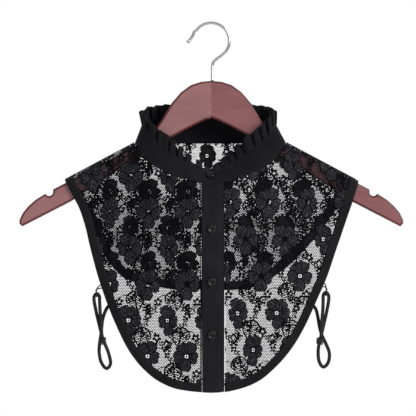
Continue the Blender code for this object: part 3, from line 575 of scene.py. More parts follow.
def thread(name, colour, roughness=0.55, grain=900.0, sheen=0.05, contrast=0.4, specular=0.2):
    """Thread, laid close, with a fine grain."""
    material, nodes, links, shader = new_material(name)
    vector = object_coordinates(nodes, links, (1, 1, 1))
    tone = ramp(nodes, links, noise(nodes, links, vector, 140.0, 3.0), (
        (0.3, scaled(colour, 1 - contrast)),
        (0.5, colour),
        (0.75, scaled(colour, 1 + contrast)),
    ))
    links.new(tone, shader.inputs["Base Color"])
    bumped(nodes, links, shader, noise(nodes, links, vector, grain, 2.0), 0.0002, 0.8)
    shader.inputs["Roughness"].default_value = roughness
    shader.inputs["Sheen Weight"].default_value = sheen
    shader.inputs["Sheen Roughness"].default_value = 0.4
    shader.inputs["Sheen Tint"].default_value = (0.8, 0.8, 0.9, 1.0)
    shader.inputs["Specular IOR Level"].default_value = specular
    return material


def lacquered_wood(name, light, dark, slope, roughness=0.32, coat=0.6):
    """Stained and lacquered wood, its grain drawn out along the arm."""
    material, nodes, links, shader = new_material(name)
    place = nodes.new("ShaderNodeTexCoord")
    turned = nodes.new("ShaderNodeMapping")
    turned.inputs["Rotation"].default_value = (0, slope, 0)
    turned.inputs["Scale"].default_value = (14, 60, 70)
    links.new(place.outputs["Object"], turned.inputs["Vector"])
    fine = nodes.new("ShaderNodeMapping")
    fine.inputs["Rotation"].default_value = (0, slope, 0)
    fine.inputs["Scale"].default_value = (40, 400, 900)
    links.new(place.outputs["Object"], fine.inputs["Vector"])
    broad = noise(nodes, links, turned.outputs["Vector"], 1.0, 4.0)
    pores = noise(nodes, links, fine.outputs["Vector"], 1.0, 2.0)
    mixed = nodes.new("ShaderNodeMath")
    mixed.operation = "MULTIPLY_ADD"
    mixed.inputs[1].default_value = 0.35
    links.new(pores, mixed.inputs[0])
    links.new(broad, mixed.inputs[2])
    tone = ramp(nodes, links, mixed.outputs[0], ((0.42, dark), (0.78, light)))
    links.new(tone, shader.inputs["Base Color"])
    bumped(nodes, links, shader, pores, 0.00006, 0.35)
    shader.inputs["Roughness"].default_value = roughness
    shader.inputs["Coat Weight"].default_value = coat
    shader.inputs["Coat Roughness"].default_value = 0.22
    return material


def polished_wire(name):
    material, nodes, links, shader = new_material(name)
    vector = object_coordinates(nodes, links, (1, 1, 1))
    shader.inputs["Base Color"].default_value = (0.62, 0.62, 0.63, 1.0)
    shader.inputs["Metallic"].default_value = 1.0
    marks = ramp(nodes, links, noise(nodes, links, vector, 260.0, 4.0), (
        (0.35, (0.10, 0.10, 0.10)),
        (0.7, (0.22, 0.22, 0.22)),
    ))
    links.new(marks, shader.inputs["Roughness"])
    return material


def button_plastic(name):
    material, nodes, links, shader = new_material(name)
    vector = object_coordinates(nodes, links, (1, 1, 1))
    tone = ramp(nodes, links, noise(nodes, links, vector, 300.0, 3.0), (
        (0.3, (0.005, 0.005, 0.006)),
        (0.7, (0.009, 0.009, 0.010)),
    ))
    links.new(tone, shader.inputs["Base Color"])
    bumped(nodes, links, shader, noise(nodes, links, vector, 700.0), 0.00005, 0.3)
    shader.inputs["Roughness"].default_value = 0.24
    shader.inputs["Specular IOR Level"].default_value = 0.3
    return material


def plain(name, colour, roughness):
    material, _, _, shader = new_material(name)
    shader.inputs["Base Color"].default_value = (*colour, 1.0)
    shader.inputs["Roughness"].default_value = roughness
    return material


COTTON = woven("black_cotton", (0.0095, 0.0090, 0.0120))
# The frill's cotton is a darker copy of the black cotton: painted shade, for the deep shadows among its folds.
SHADED_FRILL_COTTON = woven("frill_cotton_painted_shade", (0.0062, 0.0060, 0.0074))
# The stand's cotton is a darker copy of the black cotton: painted shade, for the shade that lies on the collar
# stand.
SHADED_STAND_COTTON = woven("stand_cotton_painted_shade", (0.0056, 0.0053, 0.0076))
BINDING_COTTON = woven("binding_cotton", (0.0078, 0.0076, 0.0086))
NET = thread("net_thread", (0.010, 0.010, 0.014), roughness=0.8, sheen=0.0, specular=0.1)
EMBROIDERY_PAINTED_GLINTS = embroidered("embroidery_thread_painted_glints", (0.0150, 0.0146, 0.0170))
LACE_CORD = thread(
    "lace_cord", (0.0024, 0.0024, 0.0030), roughness=0.8, grain=1600.0, sheen=0.0, specular=0.06
)
STITCH = thread("stitch_thread", (0.016, 0.016, 0.019), roughness=0.5, grain=2200.0)
ELASTIC = thread("elastic_cord", (0.0125, 0.0125, 0.0140), roughness=0.7, grain=1200.0)
BUTTON = button_plastic("button_plastic")
CHROME = polished_wire("polished_wire")
# The two boards are lit and shaded copies of one wood: the left one's lighter, greyer colour is a painted
# reflection, the haze of the lacquer's sheen on that side, and the right one is darker. The edges' two copies are
# split the same way, a little.
WOOD_LIT_AND_SHADED = {
    "left": lacquered_wood("wood_left_lit", (0.286, 0.126, 0.128), (0.240, 0.098, 0.101), -0.488),
    "right": lacquered_wood("wood_right_shaded", (0.236, 0.086, 0.088), (0.190, 0.062, 0.065), 0.488),
}
WOOD_EDGE_LIT_AND_SHADED = {
    "left": lacquered_wood("wood_edge_left", (0.120, 0.010, 0.011), (0.060, 0.006, 0.007), -0.488, 0.5, 0.1),
    "right": lacquered_wood("wood_edge_right", (0.110, 0.010, 0.011), (0.055, 0.006, 0.007), 0.488, 0.5, 0.1),
}


# Meshes


def piece(name, data, slot, *nodes):
    """A piece of the scene on the one body, with the nodes it stands for hidden; its slot argument is not used.
    """
    obj = bpy.data.objects.new(name, data)
    scene.collection.objects.link(obj)
    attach(obj, "root")
    if nodes:
        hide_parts(*nodes)
    return obj


def mesh_of(name, points, groups, materials):
    """A smooth mesh in metres from points in millimetres and (material number, rows of corners) groups."""
    points = np.asarray(points, float)
    used = np.unique(np.concatenate([faces.ravel() for _, faces in groups]))
    number = np.zeros(len(points), int)
    number[used] = np.arange(len(used))
    corners = np.concatenate([number[faces.ravel()] for _, faces in groups])
    sides = np.concatenate([np.full(len(faces), faces.shape[1]) for _, faces in groups])
    slots = np.concatenate([np.full(len(faces), k) for k, faces in groups])
    mesh = bpy.data.meshes.new(name)
    mesh.vertices.add(len(used))
    mesh.vertices.foreach_set("co", (points[used] * MM).astype(np.float32).ravel())
    mesh.loops.add(len(corners))
    mesh.loops.foreach_set("vertex_index", corners.astype(np.int32))
    mesh.polygons.add(len(sides))
    mesh.polygons.foreach_set("loop_start", np.concatenate([[0], np.cumsum(sides)[:-1]]).astype(np.int32))
    mesh.polygons.foreach_set("material_index", slots.astype(np.int32))
    mesh.polygons.foreach_set("use_smooth", np.ones(len(sides), bool))
    mesh.update(calc_edges=True)
    mesh.validate()
    for material in materials:
        mesh.materials.append(material)
    return mesh


def grid_faces(rows, count, first=0, wrap=False):
    """Corners of the quads between rows of points, joined end to end where wrap is set."""
    i, j = np.meshgrid(np.arange(rows - 1), np.arange(count if wrap else count - 1), indexing="ij")
    i, j = i.ravel(), j.ravel()
    k = (j + 1) % count
    return first + np.stack([i * count + j, (i + 1) * count + j, (i + 1) * count + k, i * count + k], 1)


STITCH_LENGTH = 1.9
STITCH_PITCH = 2.7
STITCH_WIDTH = 0.42
STITCH_FOOT = 0.1
STITCH_HEIGHT = 0.3


class Parts:
    """Points and faces collected for one mesh."""

    def __init__(self):
        self.points = []
        self.groups = []
        self.count = 0

    def add(self, points, faces, slot=0):
        self.points.append(np.asarray(points, float))
        self.groups.append((slot, np.asarray(faces, int) + self.count))
        self.count += len(points)

    def mesh(self, name, materials):
        return mesh_of(name, np.concatenate(self.points), self.groups, materials)

    def piece(self, name, materials, slot, *nodes):
        return piece(name, self.mesh(name, materials), slot, *nodes)

    def add_grid(self, rows):
        self.add(rows.reshape(-1, 3), grid_faces(len(rows), rows.shape[1]))

    def add_tube(self, rings, slot=0, capped=True):
        """A tube through closed rings of points, with its two ends closed by fans."""
        rings = np.asarray(rings, float)
        count, sides = rings.shape[:2]
        points = np.vstack([rings.reshape(-1, 3), rings[0].mean(0), rings[-1].mean(0)])
        self.add(points, grid_faces(count, sides, wrap=True), slot)
        if not capped:
            return
        around = np.arange(sides)
        after, ends = (around + 1) % sides, np.full(sides, count * sides)
        last = (count - 1) * sides
        first_cap = np.stack([around, after, ends], 1)
        last_cap = np.stack([last + after, last + around, ends + 1], 1)
        self.groups.append((slot, np.vstack([first_cap, last_cap]) + self.count - len(points)))

    def add_stitches(self, path, normals, slot=0):
        """A row of small raised stitches along a path on a surface."""
        path, normals = np.asarray(path, float), np.asarray(normals, float)
        along = distances(path)
        count = int(along[-1] / STITCH_PITCH)
        centres = (np.arange(count) + 0.5) * along[-1] / count
        at, up = places_on(centres, along, path), places_on(centres, along, normals)
        run = places_on(centres + 0.1, along, path) - places_on(centres - 0.1, along, path)
        run /= np.linalg.norm(run, axis=1, keepdims=True)
        across = np.cross(up, run)
        across /= np.linalg.norm(across, axis=1, keepdims=True)
        corners = (
            at - run * STITCH_LENGTH / 2,
            at - across * STITCH_WIDTH / 2 + up * STITCH_FOOT,
            at + run * STITCH_LENGTH / 2,
            at + across * STITCH_WIDTH / 2 + up * STITCH_FOOT,
            at + up * STITCH_HEIGHT,
        )
        points = np.stack(corners, 1).reshape(-1, 3)
        fan = np.array([[0, 1, 4], [1, 2, 4], [2, 3, 4], [3, 0, 4]])
        faces = (np.arange(count)[:, None, None] * 5 + fan).reshape(-1, 3)
        self.add(points, faces, slot)


def frames_along(route):
    """Tangent, across and up at each point of a route, the across turned as little as can be."""
    route = np.asarray(route, float)
    tangents = np.gradient(route, axis=0)
    tangents /= np.linalg.norm(tangents, axis=1, keepdims=True)
    level = np.cross(tangents, (0.0, 1.0, 0.0))
    across = level.copy()
    for k in range(len(route)):
        if k and np.linalg.norm(level[k]) < 0.6:
            across[k] = across[k - 1] - np.dot(across[k - 1], tangents[k]) * tangents[k]
        elif k and np.dot(level[k], across[k - 1]) < 0:
            across[k] = -level[k]
        across[k] /= np.linalg.norm(across[k])
    return tangents, across, np.cross(tangents, across)


def oval_rings(route, half_width, half_depth, sides, swell=None):
    tangents, across, up = frames_along(route)
    turns = 2 * pi * np.arange(sides) / sides
    swell = np.ones(len(route)) if swell is None else np.asarray(swell)
    return (
        route[:, None, :]
        + across[:, None, :] * (half_width * swell[:, None] * np.cos(turns))[:, :, None]
        + up[:, None, :] * (half_depth * swell[:, None] * np.sin(turns))[:, :, None]
    )


# Camera, light and floor

VIEW_CENTRE = Vector((-0.0038, 0.0, -0.2132))
VIEW_WIDTH = 0.4826
CAMERA_DISTANCE = 2.6
SENSOR_WIDTH = 36.0


def build_camera():
    data = bpy.data.cameras.new("camera")
    data.sensor_width = SENSOR_WIDTH
    data.lens = SENSOR_WIDTH * CAMERA_DISTANCE / VIEW_WIDTH
    camera = bpy.data.objects.new("camera", data)
    camera.location = VIEW_CENTRE + Vector((0, -CAMERA_DISTANCE, 0))
    camera.rotation_euler = (pi / 2, 0, 0)
    scene.collection.objects.link(camera)
    scene.camera = camera


def soft_light(name, place, size, power):
    data = bpy.data.lights.new(name, "AREA")
    data.shape = "RECTANGLE"
    data.size, data.size_y = size
    data.energy = power
    light = bpy.data.objects.new(name, data)
    light.location = place
    light.rotation_euler = (VIEW_CENTRE - Vector(place)).to_track_quat("-Z", "Y").to_euler()
    scene.collection.objects.link(light)


def build_light():
    scene.view_settings.view_transform = "Standard"
    world = bpy.data.worlds.new("studio")
    scene.world = world
    world.use_nodes = True
    nodes, links = world.node_tree.nodes, world.node_tree.links
    nodes.clear()
    place = nodes.new("ShaderNodeTexCoord")
    split = nodes.new("ShaderNodeSeparateXYZ")
    links.new(place.outputs["Generated"], split.inputs["Vector"])
    bands = ramp(nodes, links, split.outputs["Z"], (
        (0.0, (0.55, 0.55, 0.57)),
        (0.25, (0.62, 0.62, 0.64)),
        (1.0, (0.95, 0.95, 0.95)),
    ))
    room = nodes.new("ShaderNodeBackground")
    links.new(bands, room.inputs["Color"])
    room.inputs["Strength"].default_value = 0.75
    white = nodes.new("ShaderNodeBackground")
    white.inputs["Color"].default_value = (1, 1, 1, 1)
    path = nodes.new("ShaderNodeLightPath")
    through = nodes.new("ShaderNodeMath")
    through.operation = "MAXIMUM"
    links.new(path.outputs["Is Camera Ray"], through.inputs[0])
    links.new(path.outputs["Is Transmission Ray"], through.inputs[1])
    mixed = nodes.new("ShaderNodeMixShader")
    links.new(through.outputs[0], mixed.inputs[0])
    links.new(room.outputs[0], mixed.inputs[1])
    links.new(white.outputs[0], mixed.inputs[2])
    out = nodes.new("ShaderNodeOutputWorld")
    links.new(mixed.outputs[0], out.inputs["Surface"])
    soft_light("key", (1.7, -1.7, 0.7), (1.1, 1.4), 54)
    soft_light("fill", (-1.8, -1.6, 0.1), (1.2, 1.2), 2)
    soft_light("behind", (0.3, 2.0, 0.8), (1.4, 1.0), 10)


def build_floor():
    size, height = 4.0, -1.3
    mesh = bpy.data.meshes.new("floor")
    corners = [(x * size, y * size, height) for x, y in ((-1, -1), (1, -1), (1, 1), (-1, 1))]
    mesh.from_pydata(corners, [], [(0, 1, 2, 3)])
    mesh.materials.append(plain("floor_paint", (0.86, 0.86, 0.85), 0.9))
    floor = bpy.data.objects.new("floor", mesh)
    scene.collection.objects.link(floor)


# Straps and their loops

STRAP_SIDES = 16
STRAP_FINE_STEP = 1.1
BRAID_RIBS = 2.6
LOOP_FINE_STEP = 0.6
LOOP_RIBS = 1.5
# How far the loop's ends go in behind the binding, and how far up
LOOP_ROOT = (2.4, 0.6)
TACK_RADIUS = 0.95
TACK_TURNS = 3
TACK_PITCH = 2.1
TACK_HALF = (3.2, 5.6)
TACK_PLACE = {"left": (-125.3, -12.6, -363.6), "right": (125.2, -12.6, -363.6)}


def build_strap(side):
    """The elastic cord, folded up, with the wrapped thread that holds its free end."""
    route = smooth_route(STRAP_ROUTES[side], STRAP_FINE_STEP)
    ribs = 1 + 0.03 * np.sin(2 * pi * np.arange(len(route)) * STRAP_FINE_STEP / BRAID_RIBS)
    ends = np.minimum(np.arange(len(route)), len(route) - 1 - np.arange(len(route)))
    ribs *= np.where(ends == 0, 0.55, np.where(ends == 1, 0.88, 1.0))
    built = Parts()
    built.add_tube(oval_rings(route, STRAP_WIDTH / 2, STRAP_THICKNESS / 2 + 0.15, STRAP_SIDES, ribs))
    strap = built.piece("strap_cord_" + side, [ELASTIC], "black_elastic", "strap_" + side)
    turns = np.linspace(0, 2 * pi * TACK_TURNS, 28 * TACK_TURNS)
    x, y, z = TACK_PLACE[side]
    wrap = np.stack([
        x + TACK_HALF[0] * np.cos(turns),
        y + TACK_HALF[1] * np.sin(turns),
        z - TACK_PITCH * turns / (2 * pi) + 0.5 * np.sin(turns),
    ], 1)
    built = Parts()
    built.add_tube(oval_rings(wrap, TACK_RADIUS, TACK_RADIUS, 8))
    tack = built.piece("strap_tack_" + side, [STITCH], "black_elastic")


def build_loop(side):
    sign = -1 if side == "left" else 1
    fold = np.array(STRAP_ROUTES[side][FOLD_INDEX])
    angles = sign * np.arange(*LOOP_FEET_ANGLES, 0.1)
    heights = np.array([panel_point(angle, 1.0)[2] for angle in angles])
    feet = []
    for up in (LOOP_FEET_SPREAD, -LOOP_FEET_SPREAD):
        angle = angles[np.abs(heights - (fold[2] + LOOP_FEET_RISE + up)).argmin()]
        foot = panel_point(angle, 1.0) - LOOP_FEET_DEPTH * panel_normal(angle, 1.0)
        feet.append(foot + np.array([sign * (LOOP_RADIUS + LOOP_FEET_CLEAR), 0.0, 0.0]))
    behind = [fold + np.array([sign * out, back, rise]) for out, back, rise in LOOP_BEHIND_FOLD]
    before = [fold + np.array([sign * out, back, rise]) for out, back, rise in LOOP_BEFORE_FOLD]
    rooted = [foot - np.array([sign * LOOP_ROOT[0], 0.0, -LOOP_ROOT[1]]) for foot in feet]
    route = smooth_route([rooted[0], feet[0]] + behind + before + [feet[1], rooted[1]], LOOP_FINE_STEP)
    ribs = 1 + 0.06 * np.sin(2 * pi * np.arange(len(route)) * LOOP_FINE_STEP / LOOP_RIBS)
    built = Parts()
    built.add_tube(oval_rings(route, LOOP_RADIUS, LOOP_RADIUS, 10, ribs))
    built.piece("eyelet_loop_" + side, [ELASTIC], "black_elastic", "loop_" + side)


# Where the lace lies: flat places (x along, w up the cloth) turned into points of a panel

ARC_STEPS = 200
ARC_TURNS = np.linspace(0, pi / 2, ARC_STEPS)
ARC_POINTS = np.stack([ARM_COVER_DEPTH * np.cos(ARC_TURNS), ARM_COVER_DROP * np.sin(ARC_TURNS)], 1)
ARC_LENGTHS = distances(ARC_POINTS)
DEPTH_STEP = 2.0
DEPTH_X = np.arange(-178.0, 179.0, DEPTH_STEP)
DEPTH_Z = np.arange(-432.0, -99.0, DEPTH_STEP)
OVERRUN = 0.06


def roof_height(x):
    beyond = np.abs(x - CENTRE_X) - NECK_HALF_WIDTH
    return SHOULDER_Z - np.where(beyond > 0, SHOULDER_SLOPE, NECK_ROOF_SLOPE) * beyond


def cloth_height(x, z):
    """w of a place seen from the front."""
    fall = np.clip(roof_height(x) - z, 0, ARM_COVER_DROP)
    turn = np.arcsin(1 - fall / ARM_COVER_DROP)
    on_arm = roof_height(x) - ARM_COVER_DROP + np.interp(turn, ARC_TURNS, ARC_LENGTHS)
    return np.where(fall >= ARM_COVER_DROP, z, on_arm)


def depth_table(back):
    """How far the panel stands off the arm's cover, on an even grid of x and z."""
    angles = np.linspace(90, 270, 121) if back else np.linspace(-90, 90, 121)
    shares = np.linspace(-OVERRUN, 1 + OVERRUN, 57)
    points = []
    for angle in angles:
        neck = neck_point(angle)
        edge_x, edge_z, _ = edge_point(angle)
        for share in shares:
            held = min(max(share, 0.0), 1.0)
            surface = panel_point(wrapped(angle), held, back)
            stand_off = abs(surface[1]) - HALF_GAP - arm_cover(surface[0], surface[2])
            x, z = neck[0] + share * (edge_x - neck[0]), neck[2] + share * (edge_z - neck[2])
            points.append((x, stand_off, z))
    quads = grid_faces(len(angles), len(shares)).tolist()
    tree = BVHTree.FromPolygons([Vector(p) for p in points], quads)
    table = np.full((len(DEPTH_X), len(DEPTH_Z)), np.nan)
    for i, x in enumerate(DEPTH_X):
        for j, z in enumerate(DEPTH_Z):
            hit = tree.ray_cast(Vector((x, -500.0, z)), Vector((0.0, 1.0, 0.0)))[0]
            if hit is not None:
                table[i, j] = hit.y
    while np.isnan(table).any():
        around = np.stack([np.roll(table, shift, axis) for axis in (0, 1) for shift in (1, -1)])
        known = ~np.isnan(around)
        mean = np.where(known, around, 0).sum(0) / np.maximum(known.sum(0), 1)
        fill = np.isnan(table) & known.any(0)
        table[fill] = mean[fill]
    return table


def sampled(table, x, z):
    i = np.clip((x - DEPTH_X[0]) / DEPTH_STEP, 0, len(DEPTH_X) - 1.001)
    j = np.clip((z - DEPTH_Z[0]) / DEPTH_STEP, 0, len(DEPTH_Z) - 1.001)
    a, b = i.astype(int), j.astype(int)
    u, v = i - a, j - b
    near = table[a, b] * (1 - v) + table[a, b + 1] * v
    far = table[a + 1, b] * (1 - v) + table[a + 1, b + 1] * v
    return near * (1 - u) + far * u


def on_panel(flat, relief, table, back):
    """Points of the panel's outer face, moved out by the relief."""
    x, w = flat[:, 0], flat[:, 1]
    foot = roof_height(x) - ARM_COVER_DROP
    turn = np.interp(np.clip(w - foot, 0, ARC_LENGTHS[-1]), ARC_LENGTHS, ARC_TURNS)
    z = np.where(w > foot, foot + ARM_COVER_DROP * np.sin(turn), w)
    cover = ARM_COVER_DEPTH * np.cos(turn)
    depth = HALF_GAP + cover + sampled(table, x, z) + relief * np.cos(turn)
    return np.stack([x, depth if back else -depth, z + relief * np.sin(turn)], 1)


def inside(points, outline):
    """Which of the points lie in a closed outline."""
    x, z = points[:, 0], points[:, 1]
    crossings = np.zeros(len(points), bool)
    for (ax, az), (bx, bz) in zip(outline, np.roll(outline, -1, axis=0)):
        if az == bz:
            continue
        crossings ^= ((az > z) != (bz > z)) & (x < ax + (bx - ax) * (z - az) / (bz - az))
    return crossings


# How far the lace goes in under the binding, and how far the shoulders reach beyond the neck
HIDDEN_EDGE = 8.0
SHOULDER_REACH = 90.0


def flat_outline(angles, back):
    """The panel's outline in flat places: round the neck, along the shoulders and back round the edge."""
    def flat(point):
        return np.array([point[0], float(cloth_height(point[0], point[2]))])

    neck = [flat(panel_point(angle, 0.0, back)) for angle in angles]
    edge = [flat(panel_point(angle, edge_share(angle, HIDDEN_EDGE, back), back)) for angle in angles]
    return np.array(neck + edge[::-1])


def top_limit(angles, back):
    """x and w along the neck seam and the shoulders, sorted by x, for keeping the lace below them."""
    points = [panel_point(angle, 0.0, back) for angle in angles]
    rows = [(point[0], float(cloth_height(point[0], point[2]))) for point in points]
    for sign in (-1, 1):
        for beyond in np.linspace(0.5, SHOULDER_REACH, 40):
            x = CENTRE_X + sign * (NECK_HALF_WIDTH + beyond)
            rows.append((x, float(roof_height(x)) - ARM_COVER_DROP + ARC_LENGTHS[-1]))
    return np.array(sorted(rows))


# Lace motifs, in flat places, with the height of each point over the net's own level

NET_PITCH = 2.0
NET_THREAD = 0.66
BACK_NET_THREAD = 0.46
NET_RELIEF = -0.85
# How much wider the net's threads are drawn over the arms: at once, and more toward the shoulder's top
ARM_THREAD = 0.5
EDGE_ON_THREAD = 0.6
PLATE_RELIEF = -0.45
CORD_RELIEF = -0.2
NET_SLOT, PLATE_SLOT, CORD_SLOT = 0, 1, 2
BAR_WIDTH = 1.15
BAR_PITCH = 2.55

# The back's petals, of which the photo shows few, against the fronts': a guess from the cloth's lightness
BACK_PETALS = 0.86
# How much of each petal hides the net behind it
NET_HIDDEN = 0.92
# Petals of the big flower: direction in degrees, reach and half width
PETALS = ((112.0, 17.8, 6.8), (60.0, 16.6, 6.6), (-6.0, 15.6, 7.0), (-82.0, 18.8, 7.2), (192.0, 13.8, 6.9))
EYELET_HOLE = 2.55
EYELET_RIM = 3.6
EYELET_DOT = 1.15
# The scroll: its outline to the curled end, the spine, and the leaf on its other side
SCROLL_OUTLINE = ((0.0, 9.4), (4.2, 8.6), (8.2, 5.4), (10.2, 1.0), (9.6, -2.9), (6.8, -4.0), (5.2, -2.2),
                  (6.6, -0.6))
SCROLL_SPINE = ((0.0, 9.4), (-0.7, 4.6), (-0.9, -0.6), (-1.6, -7.2), (-3.2, -12.6))
SCROLL_LEAF = ((0.0, 9.4), (-4.4, 8.4), (-8.2, 4.6), (-9.2, -1.4), (-7.2, -7.6), (-3.2, -12.6))
SCROLL_FOOT = -9.0
# Motifs of one repeat, from its big flower; in every second row they are mirrored
SCROLLS = ((15.4, -17.6, 1.0),)
DAISIES = ((-10.6, 21.3, 2.8, 18.0), (9.2, 30.4, 2.4, 50.0))
OPEN_FLOWERS = ((22.5, 5.0, 2.5, -20.0),)
CHEVRONS = ((1.8, -27.0, 6.2, 0.0), (3.6, 25.6, 5.2, 180.0), (22.8, 17.6, 4.6, 90.0))
# Chains of small loops: points of the stem
CHAINS = (
    ((22.5, 3.0), (20.8, -1.4), (18.0, -5.4), (15.4, -8.2)),
    ((22.5, 7.0), (21.6, 11.4), (18.4, 14.4), (16.4, 18.6), (16.8, 24.4)),
    ((-10.6, 18.6), (-14.2, 15.0), (-19.0, 11.8), (-22.5, 7.0)),
)
# Single cords from motif to motif
TENDRILS = (
    ((-10.6, 24.0), (-8.0, 27.6), (-2.0, 29.0), (3.6, 27.4)),
    ((6.2, -26.0), (3.0, -31.0), (-4.0, -33.6), (-10.4, -31.8)),
    ((16.8, 24.4), (13.0, 28.6), (9.2, 30.4)),
)


def turned(points, degrees_round, centre):
    turn = radians(degrees_round)
    across, up = np.array([cos(turn), sin(turn)]), np.array([-sin(turn), cos(turn)])
    return np.asarray(centre) + points[:, :1] * across + points[:, 1:2] * up


def smooth_flat(points, step=0.9):
    return smooth_route([(x, w, 0.0) for x, w in points], step)[:, :2]


def crossing(path, height):
    """Where a path that runs downward passes a height."""
    below = np.flatnonzero(path[:, 1] <= height)
    if not len(below) or below[0] == 0:
        return None
    k = below[0]
    share = (path[k - 1, 1] - height) / (path[k - 1, 1] - path[k, 1])
    return path[k - 1] + share * (path[k] - path[k - 1])


class Lace(Parts):
    """The motifs of one panel, collected flat: each point is x, w and relief."""

    def __init__(self, petal_share):
        super().__init__()
        self.petal_share = petal_share
        self.hearts = []

    def ribbon(self, path, width, relief, height, slot, closed=False):
        path = np.asarray(path, float)
        count = len(path)
        if closed:
            run = np.roll(path, -1, axis=0) - np.roll(path, 1, axis=0)
        else:
            run = np.gradient(path, axis=0)
        run /= np.maximum(np.linalg.norm(run, axis=1, keepdims=True), 1e-9)
        side = np.stack([-run[:, 1], run[:, 0]], 1) * (np.broadcast_to(width, count)[:, None] / 2)
        levels = np.full(count, relief)
        rows = [
            np.column_stack([path + side, levels]),
            np.column_stack([path, levels + height]),
            np.column_stack([path - side, levels]),
        ]
        self.add(np.concatenate(rows), grid_faces(3, count, wrap=closed), slot)

    def plate(self, outline, centre, relief, height, slot, rings=(1.0, 0.62, 0.28)):
        """A domed plate inside an outline."""
        outline = np.asarray(outline, float)
        count = len(outline)
        points = []
        for share in rings:
            level = relief + height * sqrt(1 - share ** 2)
            points.append(np.column_stack([centre + (outline - centre) * share, np.full(count, level)]))
        self.add(np.concatenate(points), grid_faces(len(rings), count, wrap=True), slot)
        around = np.arange(count)
        fan = np.stack([around, (around + 1) % count, np.full(count, count)], 1)
        self.add(np.vstack([points[-1], [*centre, relief + height]]), fan, slot)

    def ring(self, outer, inner, relief, height, slot):
        """A flat band between two outlines, raised in its middle."""
        outer, inner = np.asarray(outer, float), np.asarray(inner, float)
        count = len(outer)
        rows = [
            np.column_stack([outer, np.full(count, relief)]),
            np.column_stack([(outer + inner) / 2, np.full(count, relief + height)]),
            np.column_stack([inner, np.full(count, relief)]),
        ]
        self.add(np.concatenate(rows), grid_faces(3, count, wrap=True), slot)

    def circle(self, centre, outer, inner, sides):
        unit = unit_circle(sides)
        self.ring(centre + outer * unit, centre + inner * unit, CORD_RELIEF, 0.3, CORD_SLOT)

    def dot(self, centre, radius):
        unit = unit_circle(8)
        centre = np.asarray(centre, float)
        self.plate(centre + radius * unit, centre, CORD_RELIEF, 0.25, CORD_SLOT, (1.0, 0.5))

    def big_flower(self, centre, squeeze, mirrored):
        """Five uneven petals round an open eyelet, each a mottled plate in a corded edge."""
        centre = np.asarray(centre, float)
        for k, (direction, reach, half_width) in enumerate(PETALS):
            reach *= self.petal_share * (1 + 0.07 * (random.random() - 0.5))
            half_width *= self.petal_share
            out = radians(direction + 7 * (random.random() - 0.5))
            around = np.linspace(0, 2 * pi, 34, endpoint=False)
            start = EYELET_HOLE - 0.1
            middle, half = (reach + start) / 2, (reach - start) / 2
            notch = 1.3 * np.exp(-(np.sin(around / 2) / 0.14) ** 2)
            along = middle + half * np.cos(around) - notch
            across = half_width * np.sin(around) * (1 + 0.22 * np.cos(around))
            wave = 1 + 0.035 * np.cos(9 * around + 2 * k)
            along, across = start + (along - start) * wave, across * wave
            flat = np.column_stack([
                mirrored * squeeze * (along * cos(out) - across * sin(out)),
                along * sin(out) + across * cos(out),
            ])
            petal = centre + flat
            heart = petal.mean(0)
            self.hearts.append(heart + NET_HIDDEN * (petal - heart))
            lift = 0.08 * (k % 3)
            self.plate(petal, heart, PLATE_RELIEF + lift, 0.3, PLATE_SLOT)
            self.ribbon(petal, 1.0, PLATE_RELIEF + lift + 0.1, 0.4, CORD_SLOT, closed=True)
            for spread in (-0.4, 0.4):
                share = np.linspace(0.25, 0.8, 5)
                vein_along = start + share * (reach - start)
                vein_across = spread * half_width * np.sin(share * 2.2)
                vein = np.column_stack([
                    mirrored * squeeze * (vein_along * cos(out) - vein_across * sin(out)),
                    vein_along * sin(out) + vein_across * cos(out),
                ])
                self.ribbon(centre + vein, 0.42, PLATE_RELIEF + lift + 0.28, 0.2, CORD_SLOT)
        self.circle(centre, EYELET_RIM, EYELET_HOLE, 22)
        self.dot(centre, EYELET_DOT)
        for run in np.eye(2) * EYELET_HOLE:
            self.ribbon(np.linspace(centre - run, centre + run, 5), 0.3, NET_RELIEF, 0.1, NET_SLOT)

    def daisy(self, centre, size, turn):
        """A small flower: an open ring with five rounded petals."""
        centre = np.asarray(centre, float)
        around = np.linspace(0, 2 * pi, 10, endpoint=False)
        for k in range(5):
            disc = np.column_stack([1.22 * size + 0.66 * size * np.cos(around), 0.62 * size * np.sin(around)])
            heart = turned(np.array([[1.18 * size, 0.0]]), turn + 72 * k, centre)[0]
            self.plate(turned(disc, turn + 72 * k, centre), heart, PLATE_RELIEF + 0.1, 0.3, CORD_SLOT, (1.0, 0.5))
        self.circle(centre, 1.0 * size, 0.6 * size, 14)

    def bar(self, start, end, width=BAR_WIDTH):
        route = np.linspace(start, end, 3)
        self.ribbon(route, width, PLATE_RELIEF, 0.3, CORD_SLOT)

    def scroll(self, centre, scale, mirrored):
        """A curled scroll with herringbone bars, and a leaf of slanted bars on its other side."""
        centre = np.asarray(centre, float)

        def placed(points):
            return centre + np.asarray(points, float) * (mirrored * scale, scale)

